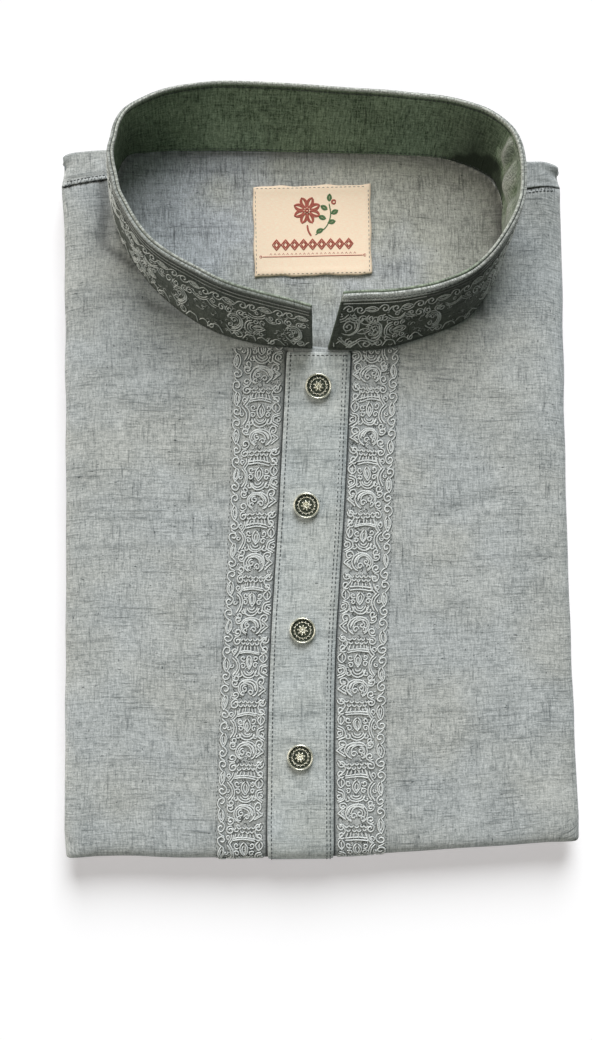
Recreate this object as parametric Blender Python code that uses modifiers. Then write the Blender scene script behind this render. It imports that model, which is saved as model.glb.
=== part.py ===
"""A retail-folded kurta tunic, front up: a flat packet with a standing band collar.

Units in the tables are millimetres; the meshes are made in metres, +Z up.
Frame: +X is the reader's right, +Y points from the tail fold to the neck, and
the origin is the middle of the whole object's footprint, on the table.
"""
import math

import bmesh
import bpy
import numpy as np

MM = 0.001

# ---------------------------------------------------------------- sizes (mm)
PACKET_W = 248.0        # nominal width of the folded packet
PACKET_L = 338.0        # nominal length of the folded packet
PLY = 1.2               # body cloth, two turned layers taken as one wall
BAND_PLY = 1.0          # each ply of the collar band
PLACKET_PLY = 1.0
LABEL_PLY = 1.0
SEAM_GAP = 0.3          # clearance between two sewn pieces

EDGE_Z = 17.4           # top of the front panel where its edges start to roll
CROWN = 1.8             # how much higher its middle is
BACK_Z = 14.7           # underside of the back panel below the front
LAYERS_Z = 14.4         # top of the hidden folded layers
FLAT_INSET = 14.0       # where a rolled edge is flat again
CORNER_POWER = 14.0     # squareness of the packet's corners

BAND_H = 34.5           # height of the collar band along the cloth
BAND_LIFT = 1.2         # its lower edge above the panel it is sewn to
NECK_CUT_Z = 16.3       # the neckline is cut from this level up
NECK_INSET = 0.6        # the cut lies this far inside the band's middle

BUTTON_R = 6.25
BUTTON_T = 2.6
LABEL_W, LABEL_L = 56.0, 43.0
LABEL_AT, LABEL_TURN = (-4.2, 118.0), 1.0   # centre, degrees

# outline of the packet, one row per place along each edge
LEFT_EDGE = [   # y, x
    (-183, -122.8), (-106, -122.5), (28, -122.2), (85, -122.5),
    (119, -122.9), (139, -124.2), (154, -124.3)]
RIGHT_EDGE = [  # y, x
    (-173, 124.0), (-139, 122.1), (-106, 120.8), (28, 116.4),
    (85, 115.5), (119, 114.8), (150, 114.1)]
BOTTOM_EDGE = [  # x, y
    (-123, -182.6), (-90, -181.5), (-60, -182.6), (-26, -181.9),
    (6, -181.5), (42, -179.4), (74, -177.4), (124, -174.0)]
TOP_EDGE = [    # x, y
    (-124.3, 153.2), (-119.5, 154.9), (-113, 155.8), (-75, 156.1),
    (-14, 155.8), (40, 154.6), (67, 151.6), (98, 150.9), (107, 150.7),
    (114.2, 148.2)]
SHOULDER_SEAM = [  # x, y   where the front panel meets the back panel
    (-124, 138.4), (-114, 140.3), (-101, 142.4), (-85, 144.0),
    (90, 137.2), (98, 137.6), (106, 138.6), (115, 138.0)]

# the front panel's edges: inset from the outline and drop, at the sides and
# at the tail, where the cloth goes round the whole packet to its underside
ROLL = [  # side_inset, side_drop, tail_inset, tail_drop
    (0.8, 6.4, 2.0, 16.6), (0.0, 4.9, 0.7, 14.2), (0.1, 3.2, 0.0, 10.6),
    (0.9, 1.7, 0.5, 5.2), (2.6, 0.7, 2.4, 1.8), (6.5, 0.15, 6.5, 0.4),
    (FLAT_INSET, 0.0, FLAT_INSET, 0.0)]
TAIL_SETBACK = 3.8      # the hidden layers lie this far inside the tail fold

# rings of the hidden layers, from the table up: inset and level.
# Two folded edges with a groove between them, then the top group set back.
LAYER_RINGS = [
    (5.0, 0.0), (1.7, 0.3), (0.6, 1.7), (0.5, 2.9), (1.3, 4.2), (2.8, 4.8),
    (1.3, 5.4), (0.5, 6.7), (0.5, 8.2), (1.3, 9.7), (3.2, 10.3),
    (5.2, 10.9), (5.4, 13.2), (8.0, LAYERS_Z)]

# collar band: the seam in plan, and how far the rim leans from it in plan.
# Named from the wearer's right front end, round the back, to the other end.
COLLAR = [  # station, seam_x, seam_y, lean_x, lean_y
    ("right_front_end",   -4.1,  61.9, -0.7, 14.9),
    ("right_front_a",    -27.6,  63.6,  2.1, 19.1),
    ("right_front_b",    -50.4,  69.9,  4.5, 19.0),
    ("right_front_c",    -70.2,  82.4,  6.0, 15.6),
    ("right_side_a",     -86.3,  99.7,  5.4, 11.2),
    ("right_side_b",     -96.6, 120.7,  4.6,  9.3),
    ("right_shoulder",   -97.9, 144.0,  2.4,  9.6),
    ("right_corner",     -92.6, 153.2,  2.1, 12.0),
    ("right_back",       -81.0, 155.1,  1.1, 18.2),
    ("back_a",           -57.1, 155.6,  1.4, 25.4),
    ("back_b",           -33.5, 155.4,  1.8, 27.0),
    ("back_middle",       -9.8, 154.9,  1.8, 26.1),
    ("back_c",            12.6, 154.4,  1.5, 24.0),
    ("back_d",            36.3, 153.8,  1.6, 22.2),
    ("left_back",         59.8, 151.7,  3.0, 20.3),
    ("left_corner",       73.0, 147.2,  5.0, 18.5),
    ("left_shoulder",     81.2, 142.2,  5.4, 15.5),
    ("left_side_a",       87.3, 120.4,  4.0, 10.4),
    ("left_side_b",       82.4,  97.4, -0.6, 11.4),
    ("left_front_c",      70.2,  77.5, -2.6, 16.6),
    ("left_front_b",      49.0,  67.5, -0.9, 20.4),
    ("left_front_a",      26.6,  61.3,  2.2, 23.6),
    ("left_front_end",     3.0,  61.2,  6.7, 22.9)]

PLACKET = [  # y, left_x, right_x
    (60.0, -16.0, 13.7), (-10.0, -19.5, 10.7),
    (-84.0, -23.8, 6.3), (-182.0, -25.6, 5.6)]
BUTTONS = [  # name, x, y
    ("button_1", -1.4, 43.3), ("button_2", -7.1, -13.1),
    ("button_3", -8.9, -72.2), ("button_4", -10.0, -132.3)]

# how finely the sheets are divided
ACROSS, ALONG = 14, 19
BACK_ACROSS, TAB_ROWS, FOLD_ROWS, UNDER_ROWS = 10, 3, 5, 8
BAND_STEPS, BAND_ROWS = 48, 3

COLOURS = {  # r, g, b, roughness, metallic
    "cloth": (0.40, 0.42, 0.41, 0.9, 0.0),
    "band": (0.24, 0.27, 0.24, 0.9, 0.0),
    "label": (0.86, 0.68, 0.52, 0.8, 0.0),
    "metal": (0.45, 0.42, 0.34, 0.35, 1.0)}


# ------------------------------------------------------------------- helpers
def smooth(rows, at, value=1):
    """A smooth curve through a table: value column as a function of the first."""
    rows = sorted(rows)
    x = np.array([r[0] for r in rows], float)
    y = np.array([r[value] for r in rows], float)
    slope = np.gradient(y, x)
    t = np.clip(np.asarray(at, float), x[0], x[-1])
    i = np.clip(np.searchsorted(x, t, side="right") - 1, 0, len(x) - 2)
    h = x[i + 1] - x[i]
    s = (t - x[i]) / h
    return ((1 + 2 * s) * (1 - s) ** 2 * y[i] + s * (1 - s) ** 2 * h * slope[i]
            + s * s * (3 - 2 * s) * y[i + 1] + s * s * (s - 1) * h * slope[i + 1])


def ease(t):
    t = np.clip(t, 0.0, 1.0)
    return t * t * (3 - 2 * t)


def place(p, q):
    """Plan position of a point p mm across and q mm up the nominal packet."""
    x = np.asarray(p, float) - PACKET_W / 2
    y = np.asarray(q, float) - PACKET_L / 2
    for _ in range(8):
        left, right = smooth(LEFT_EDGE, y), smooth(RIGHT_EDGE, y)
        x = left + (right - left) * p / PACKET_W
        low, high = smooth(BOTTOM_EDGE, x), smooth(TOP_EDGE, x)
        y = low + (high - low) * q / PACKET_L
    return x, y


def nominal(x, y):
    """The opposite of place."""
    left, right = smooth(LEFT_EDGE, y), smooth(RIGHT_EDGE, y)
    low, high = smooth(BOTTOM_EDGE, x), smooth(TOP_EDGE, x)
    return (x - left) / (right - left) * PACKET_W, (y - low) / (high - low) * PACKET_L


def height(p, q):
    """Level of the front's outer face, without its rolled edges."""
    u, v = 2 * p / PACKET_W - 1, 2 * q / PACKET_L - 1
    return EDGE_Z + CROWN * (1 - np.abs(u) ** 2.5) * (1 - np.abs(v) ** 4)


def corner(a, b):
    """Rounds a corner block: a, b run from 0 where the edges are flat to 1."""
    if a <= 0 or b <= 0:
        return a, b
    m = max(a, b)
    k = 1.0 / ((a / m) ** CORNER_POWER + (b / m) ** CORNER_POWER) ** (1 / CORNER_POWER)
    blend = min(a, b) / m
    k = 1 - (1 - k) * blend
    return a * k, b * k


def new_material(name, key):
    mat = bpy.data.materials.new(name)
    mat.use_nodes = True
    node = mat.node_tree.nodes["Principled BSDF"]
    r, g, b, rough, metal = COLOURS[key]
    node.inputs["Base Color"].default_value = (r, g, b, 1)
    node.inputs["Roughness"].default_value = rough
    node.inputs["Metallic"].default_value = metal
    mat.diffuse_color = (r, g, b, 1)
    return mat


def add_object(name, mesh, key, collection):
    ob = bpy.data.objects.new(name, mesh)
    collection.objects.link(ob)
    mesh.materials.append(new_material(name + "_finish", key))
    return ob


def grid_mesh(name, grid, flip=False):
    """An open sheet through a grid of points in mm."""
    n, m = grid.shape[:2]
    verts = [tuple(v * MM) for v in grid.reshape(-1, 3)]
    faces = []
    for i in range(n - 1):
        for j in range(m - 1):
            a, b, c, d = i * m + j, (i + 1) * m + j, (i + 1) * m + j + 1, i * m + j + 1
            faces.append((a, d, c, b) if flip else (a, b, c, d))
    mesh = bpy.data.meshes.new(name)
    mesh.from_pydata(verts, [], faces)
    mesh.update()
    return mesh


def normals(grid):
    """Unit normals of a grid of points, by differences along its rows."""
    du, dv = np.gradient(grid, axis=0), np.gradient(grid, axis=1)
    n = np.cross(du, dv)
    return n / np.linalg.norm(n, axis=2, keepdims=True)


def sheet(name, grid, ply, key, collection, offset=-1.0, flip=False):
    """Cloth: an open grid given its thickness by Solidify."""
    ob = add_object(name, grid_mesh(name, grid, flip), key, collection)
    solid = ob.modifiers.new("ply", "SOLIDIFY")
    solid.thickness = ply * MM
    solid.offset = offset
    solid.use_even_offset = False
    return ob


# -------------------------------------------------------------------- pieces
def front_grid(across, along):
    """Outer face of the front panel, rolled at both sides and at the tail."""
    last = len(ROLL) - 1
    cols, rows = across + 2 * last, along + last
    grid = np.zeros((cols + 1, rows + 1, 3))
    span_p = PACKET_W - 2 * FLAT_INSET
    for i in range(cols + 1):
        ri = min(i, cols - i)
        right = i > cols / 2
        p_in = FLAT_INSET + span_p * (i - last) / across
        for j in range(rows + 1):
            r = min(ri, j, last)
            # how far outwards from the flat, sideways and towards the tail
            side = max(last - ri, 0) / max(last - r, 1)
            tail = max(last - j, 0) / max(last - r, 1)
            side, tail = corner(side, tail)
            weight = tail / (side + tail) if side + tail else 0.0
            side_in, side_drop, tail_in, tail_drop = ROLL[r]
            drop = side_drop + (tail_drop - side_drop) * weight
            side *= FLAT_INSET - side_in
            tail *= FLAT_INSET - tail_in
            if ri < last:
                p = PACKET_W - FLAT_INSET + side if right else FLAT_INSET - side
            else:
                p = p_in
            if j < last:
                q = FLAT_INSET - tail
            else:
                x, _ = place(p, PACKET_L * 0.95)
                top = nominal(x, smooth(SHOULDER_SEAM, x) - SEAM_GAP / 2)[1]
                q = FLAT_INSET + (top - FLAT_INSET) * (j - last) / along
            x, y = place(p, q)
            grid[i, j] = x, y, height(p, q) - drop
    return grid


def back_grid():
    """Back panel: shoulder tabs, the fold at the top, and the sheet below."""
    last = len(ROLL) - 1
    cols = BACK_ACROSS + 2 * last
    span_p = PACKET_W - 2 * FLAT_INSET
    radius = (EDGE_Z - BACK_Z) / 2
    rows = []
    for i in range(cols + 1):
        ri = min(i, cols - i)
        right = i > cols / 2
        inset, drop = ROLL[min(ri, last)][:2]
        flat = 1.6 + (FLAT_INSET - 1.6) * (min(ri, last) / last) ** 1.5
        under = 8.0 + (FLAT_INSET - 8.0) * (min(ri, last) / last) ** 1.2

        def across(k):
            if ri < last:
                return PACKET_W - k if right else k
            return FLAT_INSET + span_p * (i - last) / BACK_ACROSS

        line = []
        x, _ = place(across(inset), PACKET_L * 0.95)
        start = nominal(x, smooth(SHOULDER_SEAM, x) + SEAM_GAP / 2)[1]
        stop = PACKET_L - radius
        for j in range(TAB_ROWS + 1):       # from the seam to the fold
            t = j / TAB_ROWS
            p = across(inset + (flat - inset) * ease(t))
            q = start + (stop - start) * t
            x, y = place(p, q)
            line.append((x, y, height(p, q) - drop * (1 - ease(t))))
        top = line[-1][2]
        mid, rad = (top + BACK_Z) / 2, (top - BACK_Z) / 2
        for j in range(1, FOLD_ROWS + 1):   # the fold, a half circle
            a = math.pi * j / FOLD_ROWS
            p = across(flat + (under - flat) * ease(j / FOLD_ROWS))
            x, y = place(p, stop + radius * math.sin(a))
            line.append((x, y, mid + rad * math.cos(a)))
        for j in range(1, UNDER_ROWS + 1):  # under the front
            t = j / UNDER_ROWS
            x, y = place(across(under), stop + (8.0 - stop) * t)
            line.append((x, y, BACK_Z))
        rows.append(line)
    return np.array(rows)


def layers_mesh():
    """The hidden layers as one rounded block with layered edges."""
    per_side = 14
    rings = []
    for inset, level in LAYER_RINGS:
        w, h = PACKET_W / 2 - inset, PACKET_L / 2 - inset
        ring = []
        steps = np.linspace(-1, 1, per_side + 1)[:-1]
        steps = np.sign(steps) * np.abs(steps) ** 0.6
        for ax, ay, bx, by in ((-1, -1, 1, -1), (1, -1, 1, 1), (1, 1, -1, 1), (-1, 1, -1, -1)):
            for s in steps:
                u, v = ((ax + bx) / 2 + s * (bx - ax) / 2, (ay + by) / 2 + s * (by - ay) / 2)
                out = 1.6 * (abs(u * v)) ** 30      # rounds the four corners
                low = TAIL_SETBACK * (1 - v) / 2
                x, y = place(PACKET_W / 2 + u * (w - out), PACKET_L / 2 + v * (h - out) + low)
                ring.append((float(x) * MM, float(y) * MM, level * MM))
        rings.append(ring)
    mesh = bpy.data.meshes.new("folded_layers")
    bm = bmesh.new()
    loops = [[bm.verts.new(v) for v in ring] for ring in rings]
    n = len(loops[0])
    for low, high in zip(loops, loops[1:]):
        for k in range(n):
            bm.faces.new((low[k], low[(k + 1) % n], high[(k + 1) % n], high[k]))
    bm.faces.new(loops[0][::-1])
    bm.faces.new(loops[-1])
    bmesh.ops.recalc_face_normals(bm, faces=bm.faces)
    bm.to_mesh(mesh)
    bm.free()
    return mesh


def seam_level(x, y):
    """Level of the band's lower edge, which stands on the panels."""
    p, q = nominal(x, y)
    return height(np.clip(p, 0, PACKET_W), np.clip(q, 0, PACKET_L)) + BAND_LIFT


def collar_lines(steps):
    """Seam and rim of the band's middle surface, at even steps along it."""
    rows = np.array([r[1:] for r in COLLAR], float)
    run = np.r_[0, np.cumsum(np.hypot(*np.diff(rows[:, :2], axis=0).T))]
    at = np.linspace(0, run[-1], steps + 1)
    x, y, lx, ly = (smooth(list(zip(run, rows[:, k])), at) for k in range(4))
    rise = np.sqrt(BAND_H ** 2 - lx ** 2 - ly ** 2)
    seam = np.stack([x, y, seam_level(x, y)], 1)
    return seam, seam + np.stack([lx, ly, rise], 1)


def collar_grid(steps, rows):
    seam, rim = collar_lines(steps)
    t = np.linspace(0, 1, rows + 1)[None, :, None]
    return seam[:, None] * (1 - t) + rim[:, None] * t


def neck_cutter(collection):
    """A prism inside the band's seam line, closed by a straight front edge."""
    seam, _ = collar_lines(BAND_STEPS)
    tangent = np.gradient(seam[:, :2], axis=0)
    tangent /= np.linalg.norm(tangent, axis=1, keepdims=True)
    inward = np.stack([tangent[:, 1], -tangent[:, 0]], 1)
    line = seam[:, :2] + inward * NECK_INSET
    bm = bmesh.new()
    low = [bm.verts.new((x * MM, y * MM, NECK_CUT_Z * MM)) for x, y in line]
    face = bm.faces.new(low)
    up = bmesh.ops.extrude_face_region(bm, geom=[face])
    moved = [v for v in up["geom"] if isinstance(v, bmesh.types.BMVert)]
    bmesh.ops.translate(bm, verts=moved, vec=(0, 0, 12 * MM))
    bmesh.ops.recalc_face_normals(bm, faces=bm.faces)
    mesh = bpy.data.meshes.new("neck_cutter")
    bm.to_mesh(mesh)
    bm.free()
    ob = bpy.data.objects.new("neck_cutter", mesh)
    collection.objects.link(ob)
    ob.hide_render = True
    ob.display_type = "WIRE"
    return ob


def placket_grid():
    """Points of the front panel under the placket, with the tail fold."""
    last = len(ROLL) - 1
    ys = np.linspace(PLACKET[0][0], -160.0, 17)
    grid = []
    for k in range(5):
        s = k / 4
        line = []
        for y in ys:
            x = float(smooth(PLACKET, y, 1) * (1 - s) + smooth(PLACKET, y, 2) * s)
            p, q = nominal(x, y)
            line.append((x, y, float(height(p, q))))
        p = nominal(x, -175.0)[0]
        for _, _, inset, drop in ROLL[last - 1:0:-1]:
            px, py = place(p, inset)
            line.append((float(px), float(py), float(height(p, inset)) - drop))
        grid.append(line[::-1])     # from the tail to the neck, so it faces up
    return np.array(grid)


def button_mesh(name):
    """Profile of a cast button: flat back, rolled rim, dished face, low boss."""
    r, t = BUTTON_R, BUTTON_T
    profile = [  # radius, level
        (0.0, t * 0.80), (r * 0.30, t * 0.74), (r * 0.62, t * 0.60), (r * 0.80, t * 0.66),
        (r * 0.90, t * 1.00), (r * 0.98, t * 0.80), (r * 1.00, t * 0.45),
        (r * 0.86, 0.0), (0.0, 0.0)]
    mesh = bpy.data.meshes.new(name)
    mesh.from_pydata([(a * MM, 0, z * MM) for a, z in profile],
                     [(k, k + 1) for k in range(len(profile) - 1)], [])
    return mesh


def main():
    for ob in list(bpy.data.objects):
        bpy.data.objects.remove(ob, do_unlink=True)
    parts = bpy.data.collections.new("folded_kurta_tunic")
    guides = bpy.data.collections.new("cutters")
    for c in (parts, guides):
        bpy.context.scene.collection.children.link(c)

    cutter = neck_cutter(guides)
    add_object("folded_layers", layers_mesh(), "cloth", parts)
    back = sheet("back_panel", back_grid(), PLY, "cloth", parts)
    front = sheet("front_panel", front_grid(ACROSS, ALONG), PLY, "cloth", parts)
    for ob in (back, front):
        cut = ob.modifiers.new("neckline", "BOOLEAN")
        cut.operation = "DIFFERENCE"
        cut.object = cutter
        cut.solver = "EXACT"

    base = placket_grid()
    sheet("placket", base + normals(base) * SEAM_GAP, PLACKET_PLY, "cloth", parts, offset=1.0)

    middle = collar_grid(BAND_STEPS, BAND_ROWS)
    n = normals(middle)
    seam = middle[:, 0]
    centre = seam.mean(axis=0)
    outwards = 1.0 if np.sum(n[10, 0] * (seam[10] - centre)) > 0 else -1.0
    shift = outwards * (SEAM_GAP / 2 + BAND_PLY / 2)
    sheet("collar_outer", middle + n * shift, BAND_PLY, "band", parts, offset=0.0)
    sheet("collar_inner", middle - n * shift, BAND_PLY, "band", parts, offset=0.0)

    for name, x, y in BUTTONS:
        ob = add_object(name, button_mesh(name), "metal", parts)
        turn = ob.modifiers.new("turn", "SCREW")
        turn.axis = "Z"
        turn.angle = 2 * math.pi
        turn.steps = turn.render_steps = 24
        turn.use_merge_vertices = True
        turn.merge_threshold = 0.00005
        p, q = nominal(x, y)
        level = float(height(p, q)) + 2 * SEAM_GAP + PLACKET_PLY + 0.05
        ob.location = (x * MM, y * MM, level * MM)

    label = []
    turn = math.radians(LABEL_TURN)
    for a in np.linspace(-0.5, 0.5, 5):
        line = []
        for b in np.linspace(-0.5, 0.5, 4):
            dx, dy = a * LABEL_W, b * LABEL_L
            line.append((LABEL_AT[0] + dx * math.cos(turn) - dy * math.sin(turn),
                         LABEL_AT[1] + dx * math.sin(turn) + dy * math.cos(turn),
                         BACK_Z + PLY + SEAM_GAP))
        label.append(line)
    sheet("neck_label", np.array(label), LABEL_PLY, "label", parts, offset=1.0)

    for ob in parts.objects:
        ob.data.shade_smooth()


main()
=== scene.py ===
"""Looks of the folded kurta tunic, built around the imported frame.

Tables and lengths are millimetres in the frame's own axes; meshes are metres.
"""
import math

import bpy
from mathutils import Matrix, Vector
from mathutils.bvhtree import BVHTree
import numpy as np


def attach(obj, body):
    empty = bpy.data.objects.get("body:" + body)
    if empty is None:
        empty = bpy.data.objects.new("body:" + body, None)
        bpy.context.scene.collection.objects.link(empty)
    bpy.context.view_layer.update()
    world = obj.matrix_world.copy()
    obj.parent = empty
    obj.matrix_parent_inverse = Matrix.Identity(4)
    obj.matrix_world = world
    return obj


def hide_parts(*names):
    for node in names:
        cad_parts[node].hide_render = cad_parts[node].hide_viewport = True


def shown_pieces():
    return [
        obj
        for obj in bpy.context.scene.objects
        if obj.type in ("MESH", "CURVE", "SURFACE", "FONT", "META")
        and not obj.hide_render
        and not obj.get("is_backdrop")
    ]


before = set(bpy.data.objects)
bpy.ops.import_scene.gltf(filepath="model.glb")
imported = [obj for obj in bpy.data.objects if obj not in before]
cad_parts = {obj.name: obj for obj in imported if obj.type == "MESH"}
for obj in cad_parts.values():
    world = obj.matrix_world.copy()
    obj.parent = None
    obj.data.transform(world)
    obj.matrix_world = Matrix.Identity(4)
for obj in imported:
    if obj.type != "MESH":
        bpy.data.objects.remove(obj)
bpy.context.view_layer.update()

MM = 0.001
rng = np.random.default_rng(7)

# ------------------------------------------------------------ the packet's form
PACKET_W, PACKET_L = 248.0, 338.0
EDGE_Z, CROWN = 17.4, 1.8
BACK_Z = 14.7
FLAT_INSET = 14.0
CORNER_POWER = 14.0
BAND_H, BAND_LIFT = 34.5, 0.75
NECK_INSET = 0.5

LEFT_EDGE = [   # y, x
    (-183, -122.8), (-106, -122.5), (28, -122.2), (85, -122.5),
    (119, -122.9), (139, -124.2), (154, -124.3)]
RIGHT_EDGE = [  # y, x
    (-173, 124.0), (-139, 122.1), (-106, 120.8), (28, 116.4),
    (85, 115.5), (119, 114.8), (150, 114.1)]
BOTTOM_EDGE = [  # x, y
    (-123, -182.6), (-90, -181.5), (-60, -182.6), (-26, -181.9),
    (6, -181.5), (42, -179.4), (74, -177.4), (124, -174.0)]
TOP_EDGE = [    # x, y
    (-124.3, 153.2), (-119.5, 154.9), (-113, 155.8), (-75, 156.1),
    (-14, 155.8), (40, 154.6), (67, 151.6), (98, 150.9), (107, 150.7),
    (114.2, 148.2)]
SHOULDER_SEAM = [  # x, y
    (-124, 138.4), (-114, 140.3), (-101, 142.4), (-85, 144.0),
    (90, 137.2), (98, 137.6), (106, 138.6), (115, 138.0)]

# profile of the front cloth over its edges, evenly numbered from lip to flat
SIDE_ROLL = [(4.2, 7.2), (1.4, 6.9), (0.25, 5.6), (0.0, 4.2), (0.3, 2.7),
             (1.1, 1.4), (2.9, 0.5), (7.0, 0.1), (FLAT_INSET, 0.0)]
TAIL_ROLL = [(5.5, 16.6), (2.6, 16.3), (0.9, 14.9), (0.1, 12.4), (0.0, 8.8),
             (0.5, 5.2), (1.8, 2.3), (5.2, 0.5), (FLAT_INSET, 0.0)]

COLLAR = [  # station, seam_x, seam_y, lean_x, lean_y
    ("right_front_end",   -4.1,  61.9, -0.7, 14.9),
    ("right_front_a",    -27.6,  63.6,  2.1, 19.1),
    ("right_front_b",    -50.4,  69.9,  4.5, 19.0),
    ("right_front_c",    -70.2,  82.4,  6.0, 15.6),
    ("right_side_a",     -86.3,  99.7,  5.4, 11.2),
    ("right_side_b",     -96.6, 120.7,  4.6,  9.3),
    ("right_shoulder",   -97.9, 144.0,  2.4,  9.6),
    ("right_corner",     -92.6, 153.2,  2.1, 12.0),
    ("right_back",       -81.0, 155.1,  1.1, 18.2),
    ("back_a",           -57.1, 155.6,  1.4, 25.4),
    ("back_b",           -33.5, 155.4,  1.8, 27.0),
    ("back_middle",       -9.8, 154.9,  1.8, 26.1),
    ("back_c",            12.6, 154.4,  1.5, 24.0),
    ("back_d",            36.3, 153.8,  1.6, 22.2),
    ("left_back",         59.8, 151.7,  3.0, 20.3),
    ("left_corner",       73.0, 147.2,  5.0, 18.5),
    ("left_shoulder",     81.2, 142.2,  5.4, 15.5),
    ("left_side_a",       87.3, 120.4,  4.0, 10.4),
    ("left_side_b",       82.4,  97.4, -0.6, 11.4),
    ("left_front_c",      70.2,  77.5, -2.6, 16.6),
    ("left_front_b",      49.0,  67.5, -0.9, 20.4),
    ("left_front_a",      26.6,  61.3,  2.2, 23.6),
    ("left_front_end",     3.0,  61.2,  6.7, 22.9)]

PLACKET = [  # y, left_x, right_x
    (60.0, -16.0, 13.7), (-10.0, -19.5, 10.7),
    (-84.0, -23.8, 6.3), (-182.0, -25.6, 5.6)]
STRIPS = [  # y, left_inner, left_outer, right_inner, right_outer
    (61.0, -18.0, -41.6, 14.6, 36.8), (-10.0, -20.6, -43.2, 12.0, 33.9),
    (-84.0, -24.9, -46.7, 7.6, 31.1), (-182.0, -27.6, -50.4, 7.0, 30.4)]
BUTTONS = [  # node, x, y, turn in degrees
    ("button_1", -1.4, 43.3, 10), ("button_2", -7.1, -13.1, 41),
    ("button_3", -8.9, -72.2, 25), ("button_4", -10.0, -132.3, 3)]
BUTTON_R = 6.25
LABEL_W, LABEL_L = 56.0, 43.0
LABEL_AT, LABEL_TURN = (-4.2, 118.0), 1.0

# creases of the front: ends, half width and height (minus is a trough)
CREASES = [  # x0, y0, x1, y1, width, height
    (-102.3, 109.5, -87, 99.5, 1.7, -0.95), (-99, 112, -86, 104, 3.0, 0.45),
    (-83, 83, -64, 76.5, 1.8, -0.8), (-78, 86, -62, 81, 3.2, 0.4),
    (-104, 139, -103.5, 111, 3.4, -1.9), (-114, 132, -111, 96, 6.0, 0.5),
    (-98.5, 136, -97, 116, 2.4, 0.9),
    (60, -18, 86, -9, 4.5, -0.55), (58, -27, 92, -19, 6.0, 0.35),
    (-118, 40, -70, 34, 7.0, 0.3), (-112, -40, -58, -46, 8.0, -0.28),
    (40, -60, 112, -52, 8.0, 0.3), (46, -118, 110, -108, 8.0, -0.3),
    (-110, -112, -60, -120, 7.0, 0.3), (96, 60, 104, -30, 7.0, -0.35),
    (-108, 20, -104, -90, 8.0, -0.3), (70, 58, 96, 30, 6.0, 0.4),
    (92, 104, 108, 70, 5.0, -0.45), (-70, 58, -104, 44, 6.0, -0.35),
    (44, 50, 60, 20, 5.5, -0.3), (-54, 30, -60, -60, 6.0, 0.25)]


def smooth(rows, at, value=1):
    """A smooth curve through a table: value column as a function of the first."""
    rows = sorted(rows)
    x = np.array([r[0] for r in rows], float)
    y = np.array([r[value] for r in rows], float)
    slope = np.gradient(y, x)
    t = np.clip(np.asarray(at, float), x[0], x[-1])
    i = np.clip(np.searchsorted(x, t, side="right") - 1, 0, len(x) - 2)
    h = x[i + 1] - x[i]
    s = (t - x[i]) / h
    return ((1 + 2 * s) * (1 - s) ** 2 * y[i] + s * (1 - s) ** 2 * h * slope[i]
            + s * s * (3 - 2 * s) * y[i + 1] + s * s * (s - 1) * h * slope[i + 1])


def ease(t):
    t = np.clip(t, 0.0, 1.0)
    return t * t * (3 - 2 * t)


def place(p, q):
    """Plan position of a point p mm across and q mm up the nominal packet."""
    x = np.asarray(p, float) - PACKET_W / 2 + 0 * np.asarray(q, float)
    y = np.asarray(q, float) - PACKET_L / 2 + 0 * np.asarray(p, float)
    for _ in range(6):
        left, right = smooth(LEFT_EDGE, y), smooth(RIGHT_EDGE, y)
        x = left + (right - left) * p / PACKET_W
        low, high = smooth(BOTTOM_EDGE, x), smooth(TOP_EDGE, x)
        y = low + (high - low) * q / PACKET_L
    return x, y


def nominal(x, y):
    left, right = smooth(LEFT_EDGE, y), smooth(RIGHT_EDGE, y)
    low, high = smooth(BOTTOM_EDGE, x), smooth(TOP_EDGE, x)
    return (x - left) / (right - left) * PACKET_W, (y - low) / (high - low) * PACKET_L


def height(p, q):
    u = np.clip(2 * p / PACKET_W - 1, -1, 1)
    v = np.clip(2 * q / PACKET_L - 1, -1, 1)
    return EDGE_Z + CROWN * (1 - np.abs(u) ** 2.5) * (1 - np.abs(v) ** 4)


def waves(x, y, size, seed):
    """Smooth uneven swell between about -1 and 1, from a few fixed sines."""
    r = np.random.default_rng(seed)
    out = 0.0
    for _ in range(7):
        a, k, f = r.uniform(0, 2 * math.pi), r.uniform(0.6, 1.7) / size, r.uniform(0, 6.3)
        out = out + np.sin((x * math.cos(a) + y * math.sin(a)) * k * 2 * math.pi + f)
    return out / 4.0


def creases(x, y):
    """Soft troughs and ridges laid one by one, fading at their ends."""
    z = 0.0
    for x0, y0, x1, y1, width, high in CREASES:
        dx, dy = x1 - x0, y1 - y0
        length = math.hypot(dx, dy)
        t = ((x - x0) * dx + (y - y0) * dy) / length ** 2
        off = ((x - x0) * dy - (y - y0) * dx) / length
        off = off + 0.12 * length * np.sin(np.clip(t, -0.3, 1.3) * math.pi) * 0.25
        fade = ease((t + 0.25) / 0.5) * ease((1.25 - t) / 0.5)
        z = z + high * fade * np.exp(-(off / width) ** 2)
    return z


def relief(x, y):
    """Everything that lifts or dents the front cloth, apart from its rolls."""
    z = creases(x, y) + 0.16 * waves(x, y, 60, 3) + 0.06 * waves(x, y, 17, 5)
    left, right = smooth(PLACKET, y, 1), smooth(PLACKET, y, 2)
    on = ease((63.0 - y) / 3.0)
    for edge, sign in ((left, -1), (right, 1)):
        d = (x - edge) * sign
        z = z - 0.45 * on * np.exp(-((d - 0.5) / 0.9) ** 2)          # groove
        z = z + 0.05 * on * np.sin(y * 1.35 + sign) * np.exp(-((d - 2.0) / 2.0) ** 2)
    return z


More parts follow.
